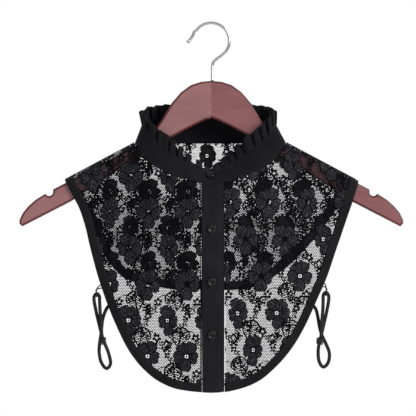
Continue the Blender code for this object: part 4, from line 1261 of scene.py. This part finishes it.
        outline, spine, leaf = (smooth_flat(points) for points in (SCROLL_OUTLINE, SCROLL_SPINE, SCROLL_LEAF))
        widths = 2.0 - 0.5 * np.linspace(0, 1, len(outline))
        self.ribbon(placed(outline), widths, CORD_RELIEF - 0.1, 0.4, CORD_SLOT)
        self.ribbon(placed(spine), 1.6, CORD_RELIEF - 0.05, 0.35, CORD_SLOT)
        self.ribbon(placed(leaf), 1.6, CORD_RELIEF - 0.1, 0.35, CORD_SLOT)
        self.dot(placed(outline[-1:])[0], 1.5)
        bulge = outline[: outline[:, 0].argmax() + 6]
        for height in np.arange(7.4, SCROLL_FOOT, -BAR_PITCH):
            inner = crossing(spine, height)
            outer = crossing(bulge, height)
            reach = outer[0] if outer is not None else 8.6 + 0.55 * (height + 3.0)
            middle = inner[0] + 0.52 * (reach - inner[0])
            self.bar(*placed([(inner[0] + 0.2, height), (middle, height - 2.2)]))
            self.bar(*placed([(middle, height - 2.2), (reach - 0.3, height - 0.2)]))
            if crossing(leaf, height - 2.6) is not None:
                far = crossing(leaf, height - 2.6)
                self.bar(*placed([(inner[0] - 0.3, height), far + (0.4, 0.0)]), width=1.05)
        self.circle(placed([(-0.6, 2.8)])[0], 1.9, 0.9, 10)

    def chevron(self, centre, size, turn):
        """Two thick bars that meet in a point, with a thin one behind them."""
        for inset, width in ((0.0, 1.8), (0.36 * size, 0.95)):
            bars = np.array([[-0.75 * size, 0.8 * size], [0.0, 0.0], [-0.75 * size, -0.8 * size]]) + (inset, 0.0)
            share = np.linspace(0, 2, 9)
            path = np.stack([np.interp(share, range(3), bars[:, k]) for k in range(2)], 1)
            path = path * (1.0, 1.0 - 0.35 * inset / size)
            self.ribbon(turned(path, turn, centre), width, PLATE_RELIEF, 0.35, CORD_SLOT)

    def chain(self, points):
        """A stem of small open loops, with a leaf beside every second one."""
        route = smooth_flat(points, 1.0)
        along = distances(route)
        count = max(int(along[-1] / 4.2), 1)
        run = np.gradient(route, axis=0)
        around = np.linspace(0, 2 * pi, 10, endpoint=False)
        for k in range(count):
            place = along[-1] * (k + 0.5) / count
            spot = places_on(place, along, route)
            ahead = places_on(place, along, run)
            lean = degrees(atan2(ahead[1], ahead[0]))
            loop = np.column_stack([2.2 * np.cos(around), 1.5 * np.sin(around)])
            self.ribbon(turned(loop, lean, spot), 1.2, CORD_RELIEF - 0.1, 0.35, CORD_SLOT, closed=True)
            side = 1 if k % 2 else -1
            leaf = np.column_stack([1.5 + 1.7 * np.cos(around), 1.0 * np.sin(around)])
            foot = turned(np.array([[0.0, side * 1.8]]), lean, spot)[0]
            heart = turned(np.array([[1.5, 0.0]]), lean + side * 62, foot)[0]
            leaf = turned(leaf, lean + side * 62, foot)
            self.plate(leaf, heart, PLATE_RELIEF + 0.1, 0.3, CORD_SLOT, (1.0, 0.5))

    def tendril(self, points):
        self.ribbon(smooth_flat(points, 1.2), 0.95, CORD_RELIEF - 0.15, 0.3, CORD_SLOT)

    def net(self, box, width, keep):
        """Six-sided net over a box of flat places, where keep says so of a cell's centre."""
        (low_x, low_w), (high_x, high_w) = box
        rise = NET_PITCH * sqrt(3) / 2
        columns_x = np.arange(low_x, high_x, NET_PITCH)
        rows_w = np.arange(low_w, high_w, rise)
        x, w = np.meshgrid(columns_x, rows_w)
        x = x + (np.arange(len(rows_w)) % 2)[:, None] * NET_PITCH / 2
        centres = np.column_stack([x.ravel(), w.ravel()])
        centres = centres[keep(centres)]
        corners = radians(30) + 2 * pi * np.arange(6) / 6
        circle = np.column_stack([np.cos(corners), np.sin(corners)]) * NET_PITCH / sqrt(3)
        wobble = 1 + 0.10 * (random.random(len(centres)) - 0.5)
        over_arm = np.clip((centres[:, 1] - roof_height(centres[:, 0]) + ARM_COVER_DROP) / ARC_LENGTHS[-1], 0, 1)
        hole = 1 - width / NET_PITCH * (1 + np.where(over_arm > 0, ARM_THREAD, 0) + EDGE_ON_THREAD * over_arm)
        outer = centres[:, None, :] + circle
        inner = centres[:, None, :] + circle * (hole * wobble)[:, None, None]
        levels = np.full((len(centres), 6, 1), NET_RELIEF)
        rows = np.concatenate([
            np.concatenate([outer, levels], 2),
            np.concatenate([inner, levels - 0.08], 2),
        ], 1)
        k = np.arange(6)
        quads = np.stack([k, (k + 1) % 6, 6 + (k + 1) % 6, 6 + k], 1)
        faces = (np.arange(len(centres))[:, None, None] * 12 + quads).reshape(-1, 4)
        self.add(rows.reshape(-1, 3), faces, NET_SLOT)

    def keep_inside(self, outline, limit):
        """Drops what lies outside the panel and holds the rest below the neck seam and shoulders."""
        points = np.concatenate(self.points)
        kept = []
        for slot, faces in gather_groups(self.groups):
            middles = points[faces][:, :, :2].mean(1)
            below = middles[:, 1] < np.interp(middles[:, 0], limit[:, 0], limit[:, 1]) - 0.05
            chosen = faces[below & inside(middles, outline)]
            if len(chosen):
                kept.append((slot, chosen))
        points[:, 1] = np.minimum(points[:, 1], np.interp(points[:, 0], limit[:, 0], limit[:, 1]))
        return points, kept


def gather_groups(groups):
    """The groups with the same slot and number of corners put together."""
    together = {}
    for slot, faces in groups:
        together.setdefault((slot, faces.shape[1]), []).append(faces)
    return [(slot, np.concatenate(faces)) for (slot, _), faces in together.items()]


def repeats(name, outline):
    """Each repeat of a panel's lace: its flower's centre, -1 where the row is mirrored, and its width."""
    first_x, first_w, shift, rise = LACE_LAYOUT[name]
    low, high = outline.min(0) - 45, outline.max(0) + 45
    for row in range(-7, 10):
        for column in range(-10, 11):
            x = first_x + column * FLOWER_SPACING + row * shift
            w = first_w + row * rise
            if low[0] < x < high[0] and low[1] < w < high[1]:
                yield x, w, (-1 if row % 2 else 1), (1.0 if (row + column) % 3 else 0.76)


def add_motifs(lace, x, w, mirrored, squeeze):
    def at(right, up):
        return np.array([x + mirrored * right, w + up])

    lace.big_flower(np.array([x, w]), squeeze, mirrored)
    for right, up, scale in SCROLLS:
        lace.scroll(at(right, up), scale, mirrored)
    for right, up, size, turn in DAISIES + OPEN_FLOWERS:
        lace.daisy(at(right, up), size, turn * mirrored)
    for right, up, size, turn in CHEVRONS:
        lace.chevron(at(right, up), size, turn if mirrored > 0 else 180 - turn)
    for points in CHAINS:
        lace.chain([tuple(at(right, up)) for right, up in points])
    for points in TENDRILS:
        lace.tendril([tuple(at(right, up)) for right, up in points])


def build_lace(name, angles, back=False):
    outline = flat_outline(angles, back)
    limit = top_limit(angles, back)
    table = depth_table(back)
    lace = Lace(BACK_PETALS if back else 1.0)
    flowers = []
    for x, w, mirrored, squeeze in repeats(name, outline):
        flowers.append(np.array([x, w]))
        add_motifs(lace, x, w, mirrored, squeeze)

    def net_shows(points):
        found = inside(points, outline)
        for centre in flowers:
            found &= ((points - centre) ** 2).sum(1) > EYELET_HOLE ** 2
        for heart in lace.hearts:
            near = np.flatnonzero(found & (points > heart.min(0)).all(1) & (points < heart.max(0)).all(1))
            found[near[inside(points[near], heart)]] = False
        return found

    if name == "front_left":
        # The edge turned under beside the front band
        heights = np.arange(outline[:, 1].min(), outline[:, 1].max(), 4.0)
        lace.ribbon([(PLACKET_LEFT_X - 0.2, w) for w in heights], 1.8, NET_RELIEF, 0.1, CORD_SLOT)
    thread_width = BACK_NET_THREAD if back else NET_THREAD
    lace.net((outline.min(0) - 2, outline.max(0) + 2), thread_width, net_shows)
    flat, groups = lace.keep_inside(outline, limit)
    points = on_panel(flat[:, :2], flat[:, 2], table, back)
    mesh = mesh_of(name + "_lace", points, groups, [NET, EMBROIDERY_PAINTED_GLINTS, LACE_CORD])
    return piece(name + "_lace", mesh, "black_lace", name)


# Cloth bands

PUCKER = 0.16
# How much a cloth's wall thins at its edges
EDGE_ROUNDING = 0.25
BAND_EDGE_ROUNDING = 0.45
BINDING_ROWS = 7
STITCH_LIFT = 0.06
# How far the binding's two rows of stitches lie from the outer edge
BINDING_STITCH_INSETS = (8.6, 1.3)


def section_wall(rings):
    """A closed band from rings of points round its section."""
    built = Parts()
    built.add_tube(rings)
    return built


def pucker(a, b):
    """Small uneven waves of sewn cloth."""
    return PUCKER * (sin(0.9 * a + 1.7 * sin(0.31 * b)) + 0.6 * sin(2.3 * a + 0.8 * b)) / 1.6


def binding_ring(angle, back):
    """The binding's section at an angle: outer face, the turned edge, and the inner face."""
    first = edge_share(angle, BINDING_WIDTH, back)
    shares = np.linspace(first, 1.0, BINDING_ROWS)
    out, into = BINDING_WALL
    step = 1 - first
    outer, inner = [], []
    for k, share in enumerate(shares):
        point = panel_point(angle, share, back)
        normal = panel_normal(angle, share, back)
        rounding = EDGE_ROUNDING if k in (0, len(shares) - 1) else 0.0
        lift = pucker(angle * 2.2, k) * 0.5 if 0 < k < len(shares) - 1 else 0.0
        outer.append(point + (out - rounding + lift) * normal)
        inner.append(point + (into + rounding) * normal)
    beyond = panel_point(angle, 1.0 + 0.02 * step, back)
    middle = (outer[-1] + inner[-1]) / 2 + (beyond - panel_point(angle, 1.0, back))
    return outer + [middle] + inner[::-1]


def stitch_line(places, lift, back=False):
    """Points and normals this far off a panel, at places given by angle and share."""
    normals = [panel_normal(angle, share, back) for angle, share in places]
    path = [panel_point(angle, share, back) + lift * n for (angle, share), n in zip(places, normals)]
    return path, normals


def build_binding(name, angles, back=False):
    built = section_wall([binding_ring(angle, back) for angle in angles])
    for inset in BINDING_STITCH_INSETS:
        places = [(angle, edge_share(angle, inset, back)) for angle in angles]
        for lift, flip in ((BINDING_WALL[0] + STITCH_LIFT, 1), (BINDING_WALL[1] - STITCH_LIFT, -1)):
            path, normals = stitch_line(places, lift, back)
            built.add_stitches(path, [flip * normal for normal in normals], slot=1)
    return built.piece(name + "_binding", [BINDING_COTTON, STITCH], "black_cotton", "binding_" + name)


def fine_angles(angles, step):
    """The angles with even ones between them, no further apart than the step."""
    fine = []
    for first, second in zip(angles, angles[1:]):
        count = max(1, int(abs(second - first) / step + 0.5))
        fine += [first + (second - first) * k / count for k in range(count)]
    return fine + [angles[-1]]


def front_angles(side):
    edge = PLACKET_LEFT_X - SEAM_GAP if side < 0 else BUTTON_STAND_RIGHT_X + SEAM_GAP
    return (angle_at(edge),) + tuple(side * angle for angle in FRONT_ANGLES + NEAR_SHOULDER)


def back_angles():
    """Angles of the back's rays, from the right shoulder round to the left one at 270."""
    right = tuple(180 - angle for angle in reversed(NEAR_SHOULDER)) + BACK_ANGLES
    return right + tuple(360 - angle for angle in reversed(right[:-1]))


def band_ring(angles, share, wall):
    """A front band's section across at one height."""
    outer, inner = [], []
    first = HALF_GAP / np.linalg.norm(panel_point(angles[0], 1.0) - panel_point(angles[0], 0.0))
    share = max(share, first)
    for k, angle in enumerate(angles):
        point = panel_point(angle, share)
        normal = panel_normal(angle, max(share, 0.01))
        edge = k in (0, len(angles) - 1)
        rounding = BAND_EDGE_ROUNDING if edge else 0.0
        lift = 0.0 if edge else pucker(angle * 1.3, share * 90)
        outer.append(point + (wall[0] - rounding + lift) * normal)
        inner.append(point + (wall[1] + rounding) * normal)
    return outer + inner[::-1]


BAND_FINE_ROWS = 72
BAND_STITCH_INSET = 2.0
CROSS_SEAMS = (0.055, 0.985)
BUTTONHOLE_HALF = 6.8
BUTTONHOLE_HALF_WIDTH = 1.0
BUTTONHOLE_THREAD = 0.62


def build_bands():
    for name, left_x, right_x, wall in (
        ("placket", PLACKET_LEFT_X, PLACKET_RIGHT_X, PLACKET_WALL),
        ("button_stand", BUTTON_STAND_LEFT_X, BUTTON_STAND_RIGHT_X, BUTTON_STAND_WALL),
    ):
        inside_edges = np.linspace(left_x + 0.5, right_x - 0.5, 9)
        angles = [angle_at(x) for x in (left_x, *inside_edges, right_x)]
        shares = np.linspace(0, 1, BAND_FINE_ROWS)
        built = section_wall([band_ring(angles, share, wall) for share in shares])
        sewn = Parts()
        lift = wall[0] + STITCH_LIFT
        for x in (left_x + BAND_STITCH_INSET, right_x - BAND_STITCH_INSET):
            sewn.add_stitches(*stitch_line([(angle_at(x), share) for share in shares[1:]], lift))
        across = np.linspace(left_x + BAND_STITCH_INSET, right_x - BAND_STITCH_INSET, 12)
        hem = [angle_at(x) for x in across]
        for share in CROSS_SEAMS:
            sewn.add_stitches(*stitch_line([(angle, share) for angle in hem], lift))
        if name == "placket":
            add_buttonholes(sewn)
        band = built.piece(name + "_cloth", [COTTON], "black_cotton", name)
        threads = sewn.piece(name + "_stitching", [STITCH], "black_cotton")


def add_buttonholes(built):
    """Closely sewn upright slits under the three lower buttons."""
    angle = angle_at(BUTTON_X)
    seam, edge = neck_point(angle)[2], panel_point(angle, 1.0)[2]
    for height in BUTTON_HEIGHTS[1:]:
        around = np.linspace(0, 2 * pi, 40, endpoint=False)
        rings = []
        for turn in around:
            x = BUTTON_X + BUTTONHOLE_HALF_WIDTH * sin(turn)
            z = height + BUTTONHOLE_HALF * cos(turn)
            place = angle_at(x)
            share = (seam - z) / (seam - edge)
            point = panel_point(place, share)
            normal = panel_normal(place, share)
            out = np.array([sin(turn), 0.0, cos(turn)])
            middle = point + (PLACKET_WALL[0] + 0.08) * normal
            section = np.linspace(0, 2 * pi, 7)[:-1]
            rings.append([middle + BUTTONHOLE_THREAD * (cos(v) * out + sin(v) * normal) for v in section])
        rings.append(rings[0])
        built.add_tube(rings, capped=False)


STAND_FINE = 1.5
SEAM_OVERLAP = 0.5
# How much of the stand's height turns toward each seam's mitre
MITRE_SHARE = 0.12
# How high its two rows of stitches run, and how far the end's row lies in, in degrees
STAND_STITCH_SHARES = (0.09, 0.93)
END_STITCH_INSET = 1.4
STAND_RISES = (0.0, 0.05, 0.15, 0.3, 0.45, 0.6, 0.75, 0.88, 0.96, 1.0)


def stand_surface(angle, share):
    """A point of the stand's outer face and its normal, mitred at both seams."""
    foot, top, _ = collar_rings(angle)
    reach = SEAM_OVERLAP / np.linalg.norm(top - foot)
    held = (1 + 2 * reach) * share - reach
    normal = stand_normal(angle, share)
    if share < MITRE_SHARE:
        blend = share / MITRE_SHARE
        normal = blend * normal + (1 - blend) * seam_normal(angle)
    if share > 1 - MITRE_SHARE:
        blend = (share - (1 - MITRE_SHARE)) / MITRE_SHARE
        normal = (1 - blend) * normal + blend * frill_seam_normal(angle)
    return stand_point(angle, held), normal / np.linalg.norm(normal)


def build_stand():
    angles = fine_angles(STAND_TURNS_OVER + STAND_TURNS_ROUND + STAND_TURNS_UNDER, STAND_FINE)
    rings = []
    for angle in angles:
        off = lap(angle)
        outer, inner = [], []
        for k, share in enumerate(STAND_RISES):
            point, normal = stand_surface(angle, share)
            edge = k in (0, len(STAND_RISES) - 1)
            rounding = EDGE_ROUNDING if edge else 0.0
            lift = 0.0 if edge else pucker(angle * 1.1, share * 5) * 1.2
            outer.append(point + (off - rounding + lift) * normal)
            inner.append(point + (off - STAND_THICKNESS + rounding + lift) * normal)
        rings.append(outer + inner[::-1])
    built = section_wall(rings)
    sewn = Parts()
    lines = [[(angle, share, lap(angle)) for angle in angles] for share in STAND_STITCH_SHARES]
    end = STAND_OVER_END - END_STITCH_INSET
    lines.append([(end, share, lap(0.0)) for share in np.linspace(0.12, 0.9, 8)])
    for line in lines:
        path, normals = [], []
        for angle, share, off in line:
            point, normal = stand_surface(angle, share)
            path.append(point + (off + STITCH_LIFT) * normal)
            normals.append(normal)
        sewn.add_stitches(path, normals)
    stand = built.piece("stand_collar", [SHADED_STAND_COTTON], "black_cotton", "collar_stand")
    threads = sewn.piece("stand_stitching", [STITCH], "black_cotton")


FRILL_FINE = 26
FRILL_RISES = (0.0, 0.1, 0.25, 0.42, 0.6, 0.78, 0.92, 1.0)
FRILL_PLACES = 1441
# How far the pleats are laid over, lean and stray from an even row, in shares of a pleat
FRILL_FOLD_OVER = 0.36
FRILL_LEAN = 0.22
FRILL_DRIFT = 0.7
FRILL_TUCKED = 1.2
FRILL_CLOTH = 0.45


def build_frill():
    """Pleats that are laid over at the foot and open into rounded folds at the top."""
    fine = np.linspace(FRILL_FIRST_ANGLE, FRILL_LAST_ANGLE - 360, FRILL_PLACES)
    ring = np.array([collar_rings(angle)[2] for angle in fine])
    along = distances(ring)
    count = FRILL_WAVES * FRILL_FINE
    pitch = along[-1] / FRILL_WAVES
    middle = (FRILL_THICKNESS - STAND_THICKNESS) / 2 - FRILL_THICKNESS / 2
    uneven = random.random((FRILL_WAVES + 1, 3)) - 0.5
    drift = FRILL_DRIFT * pitch * (random.random(FRILL_WAVES + 1) - 0.5)
    rows = [[] for _ in FRILL_RISES]
    for k in range(count + 1):
        wave = 2 * pi * k / FRILL_FINE
        own = uneven[min(k // FRILL_FINE, FRILL_WAVES)]
        ends = min(k / FRILL_FINE, (count - k) / FRILL_FINE, 1.0)
        for row, share in zip(rows, FRILL_RISES):
            opened = FRILL_WAVE_FOOT + (FRILL_WAVE_TOP - FRILL_WAVE_FOOT) * share ** 0.8
            slide = -FRILL_FOLD_OVER * pitch * (0.75 + 0.25 * share) * sin(2 * wave) / 2
            slide += FRILL_LEAN * pitch * sin(wave) * (1 - 0.4 * share)
            slide += float(np.interp(k / FRILL_FINE, range(FRILL_WAVES + 1), drift))
            place = along[-1] * k / count + slide * ends
            angle = float(np.interp(place, along, fine))
            _, top, crown = collar_rings(angle)
            held = share - FRILL_TUCKED * (1 - share) / np.linalg.norm(crown - top)
            normal = frill_seam_normal(angle) if share == 0 else frill_normal(angle)
            round_off = 1 - (0.035 + 0.07 * abs(own[2])) * (1 - cos(wave + own[2])) * share
            base = top + held * round_off * (crown - top)
            depth = opened * sin(wave + 0.5 * own[0] * share) * (1 + 0.3 * own[1]) * ends
            row.append(base + (depth + middle + lap(angle)) * normal)
    points = np.array(rows)
    built = Parts()
    built.add_grid(points)
    frill = built.piece("pleated_frill", [SHADED_FRILL_COTTON], "black_cotton", "collar_frill")
    thick = frill.modifiers.new("cloth", "SOLIDIFY")
    thick.thickness = FRILL_CLOTH * MM
    thick.offset = 0.0


# The seam's section on the front and on the back: how far down from the ridge, and its height
SHOULDER_SECTION = (
    ((2.6, 0.05), (2.2, 0.7), (1.0, 0.95), (0.02, 0.95)),
    ((1.0, 0.95), (1.6, 0.05)),
)
OVERCAST_RADIUS = 0.3


def build_shoulder_seams(tables):
    """The overcast seam that joins front and back along each shoulder."""
    top = ARC_LENGTHS[-1]
    for sign, name in ((-1, "shoulder_seam_left"), (1, "shoulder_seam_right")):
        rings = []
        for beyond in np.linspace(1.0, 81.0, 90):
            x = CENTRE_X + sign * (NECK_HALF_WIDTH + beyond)
            foot = float(roof_height(x)) - ARM_COVER_DROP
            ring = []
            for back, section in enumerate(SHOULDER_SECTION):
                for away, relief in section:
                    flat = np.array([[x, foot + top - away]])
                    ring.append(on_panel(flat, np.array([relief]), tables[back], bool(back))[0])
            rings.append(ring)
        built = Parts()
        rings = np.array(rings)
        built.add_grid(rings)
        for k in range(0, len(rings) - 1, 2):
            stitch = np.array([rings[k, 0], rings[k, 1], rings[k + 1, 3], rings[k + 1, 5]])
            built.add_tube(oval_rings(stitch, OVERCAST_RADIUS, OVERCAST_RADIUS, 5), 1)
        built.piece(name, [BINDING_COTTON, STITCH], "black_lace")


# Buttons

BUTTON_FACE = (
    (0.0, 1.75), (1.6, 1.78), (2.7, 1.9), (3.2, 2.2), (3.7, 2.45), (4.2, 2.5), (4.7, 2.25),
    (4.95, 1.8), (5.0, 1.3), (4.75, 0.6), (4.2, 0.15), (3.6, 0.0), (0.0, 0.0),
)
BUTTON_TURNS = 48
HOLE_PLACES = ((1.05, 1.05), (-1.05, 1.05), (-1.05, -1.05), (1.05, -1.05))
HOLE_RADIUS = 0.55
HOLE_SIDES = 12
HOLE_FLOOR = 0.4


def button_mesh():
    """One turned button with four holes through it and thread over them."""
    turns = 2 * pi * np.arange(BUTTON_TURNS) / BUTTON_TURNS
    rings = [
        [(radius * cos(t), radius * sin(t), height) for t in turns]
        for radius, height in BUTTON_FACE[1:-1]
    ]
    built = Parts()
    flat = np.array(rings)
    built.add(flat.reshape(-1, 3), grid_faces(len(rings), BUTTON_TURNS, wrap=True)[:, ::-1])
    around = np.arange(BUTTON_TURNS)
    fan = np.stack([(around + 1) % BUTTON_TURNS, around, np.full(BUTTON_TURNS, BUTTON_TURNS)], 1)
    built.add(np.vstack([flat[-1], [0, 0, 0]]), fan)
    add_pierced_face(built, flat[0])
    for first, second in ((0, 2), (1, 3)):
        start, end = np.array([*HOLE_PLACES[first], 0.8]), np.array([*HOLE_PLACES[second], 0.8])
        share = np.linspace(0, 1, 9)[:, None]
        route = start + share * (end - start)
        route[:, 2] += 1.3 * np.sin(pi * share[:, 0]) ** 0.5
        rings = []
        for spot in route:
            across = np.array([-(end - start)[1], (end - start)[0], 0.0])
            across /= np.linalg.norm(across)
            rings.append([spot + 0.36 * (cos(v) * across + sin(v) * np.array([0, 0, 1.0])) for v in turns[::8]])
        built.add_tube(rings, 1)
    mesh = built.mesh("button", [BUTTON, STITCH])
    bm = bmesh.new()
    bm.from_mesh(mesh)
    bmesh.ops.remove_doubles(bm, verts=bm.verts, dist=0.000002)
    bm.to_mesh(mesh)
    bm.free()
    return mesh


def add_pierced_face(built, rim):
    """The dished face with four round holes, and the holes' walls."""
    holes = []
    for x, y in HOLE_PLACES:
        holes.append((x, y) + HOLE_RADIUS * unit_circle(HOLE_SIDES))
    loops = [rim[:, :2]] + holes
    flat = np.concatenate(loops)
    edges, start = [], 0
    for loop in loops:
        edges += [(start + k, start + (k + 1) % len(loop)) for k in range(len(loop))]
        start += len(loop)
    points, _, faces, *_ = delaunay_2d_cdt([Vector(point) for point in flat], edges, [], 1, 1e-6)
    points = np.array([tuple(point) for point in points])
    kept = []
    for face in faces:
        middle = points[list(face)].mean(0)
        if all(np.hypot(*(middle - place)) > HOLE_RADIUS for place in np.array(HOLE_PLACES)):
            kept.append(list(face))
    level = BUTTON_FACE[0][1] + (BUTTON_FACE[1][1] - BUTTON_FACE[0][1]) * np.hypot(*points.T) / BUTTON_FACE[1][0]
    built.add(np.column_stack([points, level]), np.array(kept))
    for hole in holes:
        levels = (BUTTON_FACE[0][1], HOLE_FLOOR)
        walls = np.stack([np.column_stack([hole, np.full(HOLE_SIDES, z)]) for z in levels])
        built.add(walls.reshape(-1, 3), grid_faces(2, HOLE_SIDES, wrap=True))


def build_buttons():
    mesh = button_mesh()
    angle = angle_at(BUTTON_X)
    seam, edge = neck_point(angle)[2], panel_point(angle, 1.0)[2]
    for number, height in enumerate(BUTTON_HEIGHTS, 1):
        if height > seam:
            _, top, _ = collar_rings(angle)
            share = (height - seam) / (top[2] - seam)
            normal = stand_normal(angle, share)
            place = stand_point(angle, share) + (lap(angle) + TOP_BUTTON_LIFT) * normal
        else:
            share = (seam - height) / (seam - edge)
            normal = panel_normal(angle, share)
            place = panel_point(angle, share) + (PLACKET_WALL[0] + SEAM_GAP) * normal
        button = piece(f"sewn_button_{number}", mesh.copy(), "black_button", f"button_{number}")
        button.rotation_euler = Vector(normal).to_track_quat("Z", "Y").to_euler()
        button.location = Vector(place * MM)


# Hanger

ROUNDING_STEPS = 4


def build_hanger():
    """The chamfered plate with its edge softly rounded, cut at the middle into two boards."""
    right = hanger_outline()
    left = [Vector((-point.x, point.y)) for point in reversed(right[1:-1])]
    for side, word in ((-1, "left"), (1, "right")):
        bm = bmesh.new()
        flat = HANGER_HALF_THICKNESS - HANGER_CHAMFER
        front = bm.faces.new([bm.verts.new((p.x * MM, -flat * MM, p.y * MM)) for p in right + left])
        made = bmesh.ops.extrude_face_region(bm, geom=[front])
        lifted = [item for item in made["geom"] if isinstance(item, bmesh.types.BMVert)]
        bmesh.ops.translate(bm, verts=lifted, vec=(0, 2 * flat * MM, 0))
        bmesh.ops.recalc_face_normals(bm, faces=bm.faces)
        for face in bm.faces:
            face.material_index = 1
        turns = np.linspace(0, pi / 2, ROUNDING_STEPS + 1)
        for before, after in zip(turns, turns[1:]):
            caps = [face for face in bm.faces if len(face.verts) > 4]
            inward = HANGER_CHAMFER * (cos(before) - cos(after)) * MM
            outward = HANGER_CHAMFER * (sin(after) - sin(before)) * MM
            for cap in caps:
                bmesh.ops.inset_region(bm, faces=[cap], thickness=inward, depth=outward, use_even_offset=True)
        for face in bm.faces:
            if len(face.verts) > 4:
                face.material_index = 0
        bmesh.ops.triangulate(bm, faces=[face for face in bm.faces if len(face.verts) > 4])
        cut = bmesh.ops.bisect_plane(
            bm,
            geom=bm.verts[:] + bm.edges[:] + bm.faces[:],
            plane_co=(0, 0, 0),
            plane_no=(-side, 0, 0),
            clear_outer=True,
        )
        rim = [item for item in cut["geom_cut"] if isinstance(item, bmesh.types.BMEdge)]
        bmesh.ops.contextual_create(bm, geom=rim)
        for face in bm.faces:
            face.smooth = face.material_index == 1 and abs(face.normal.x) < 0.999
        mesh = bpy.data.meshes.new("hanger_board_" + word)
        bm.to_mesh(mesh)
        bm.free()
        mesh.materials.append(WOOD_LIT_AND_SHADED[word])
        mesh.materials.append(WOOD_EDGE_LIT_AND_SHADED[word])
        piece("hanger_board_" + word, mesh, "mahogany_wood", "hanger_" + word)


def build_hook():
    """The bent wire, with the bead at its free end and the screwed shank."""
    centre_z = WIRE_RADIUS - HOOK_RADIUS
    first = atan2(HOOK_TAIL[-1][1] - centre_z, HOOK_TAIL[-1][0])
    last = atan2(HOOK_NECK[0][1] - centre_z, HOOK_NECK[0][0])
    turns = np.linspace(first, last, HOOK_STEPS + 2)[1:-1]
    route = [(x, 0.0, z) for x, z in HOOK_TAIL]
    route += [(HOOK_RADIUS * cos(t), 0.0, centre_z + HOOK_RADIUS * sin(t)) for t in turns]
    route += [(x, 0.0, z) for x, z in HOOK_NECK]
    route.append((SHANK_X, 0.0, DOME[0][1] + SEAM_GAP / 2))
    route = smooth_route(route, HOOK_FINE_STEP)
    along = np.arange(len(route)) * HOOK_FINE_STEP
    bead = 1 + (HOOK_BEAD - 1) * np.exp(-((along - HOOK_BEAD_REACH) / HOOK_BEAD_REACH) ** 4)
    bead *= np.sqrt(np.clip((along + 0.25) / 1.6, 0.2, 1))
    tangents = np.gradient(route, axis=0)
    tangents /= np.linalg.norm(tangents, axis=1, keepdims=True)
    deep = np.array([0.0, 1.0, 0.0])
    across = np.cross(tangents, deep)
    turns = 2 * pi * np.arange(20) / 20
    built = Parts()
    built.add_tube(
        route[:, None, :]
        + across[:, None, :] * (WIRE_RADIUS * bead[:, None] * np.cos(turns))[:, :, None]
        + deep * (WIRE_RADIUS * bead[:, None] * np.sin(turns))[:, :, None]
    )
    built.piece("wire_hook", [CHROME], "chrome_wire", "hanger_hook")


def main():
    build_camera()
    build_light()
    build_floor()
    for side in ("left", "right"):
        build_strap(side)
        build_loop(side)
    for name, angles, back in (
        ("front_left", front_angles(-1), False),
        ("front_right", front_angles(1), False),
        ("back_panel", back_angles(), True),
    ):
        fine = [wrapped(angle) for angle in fine_angles(angles, 1.5)]
        cloth = build_lace(name, fine, back)
        trim = build_binding("back" if back else name, fine, back)
    build_bands()
    build_stand()
    build_frill()
    build_shoulder_seams([depth_table(back) for back in (False, True)])
    build_buttons()
    build_hanger()
    build_hook()


main()
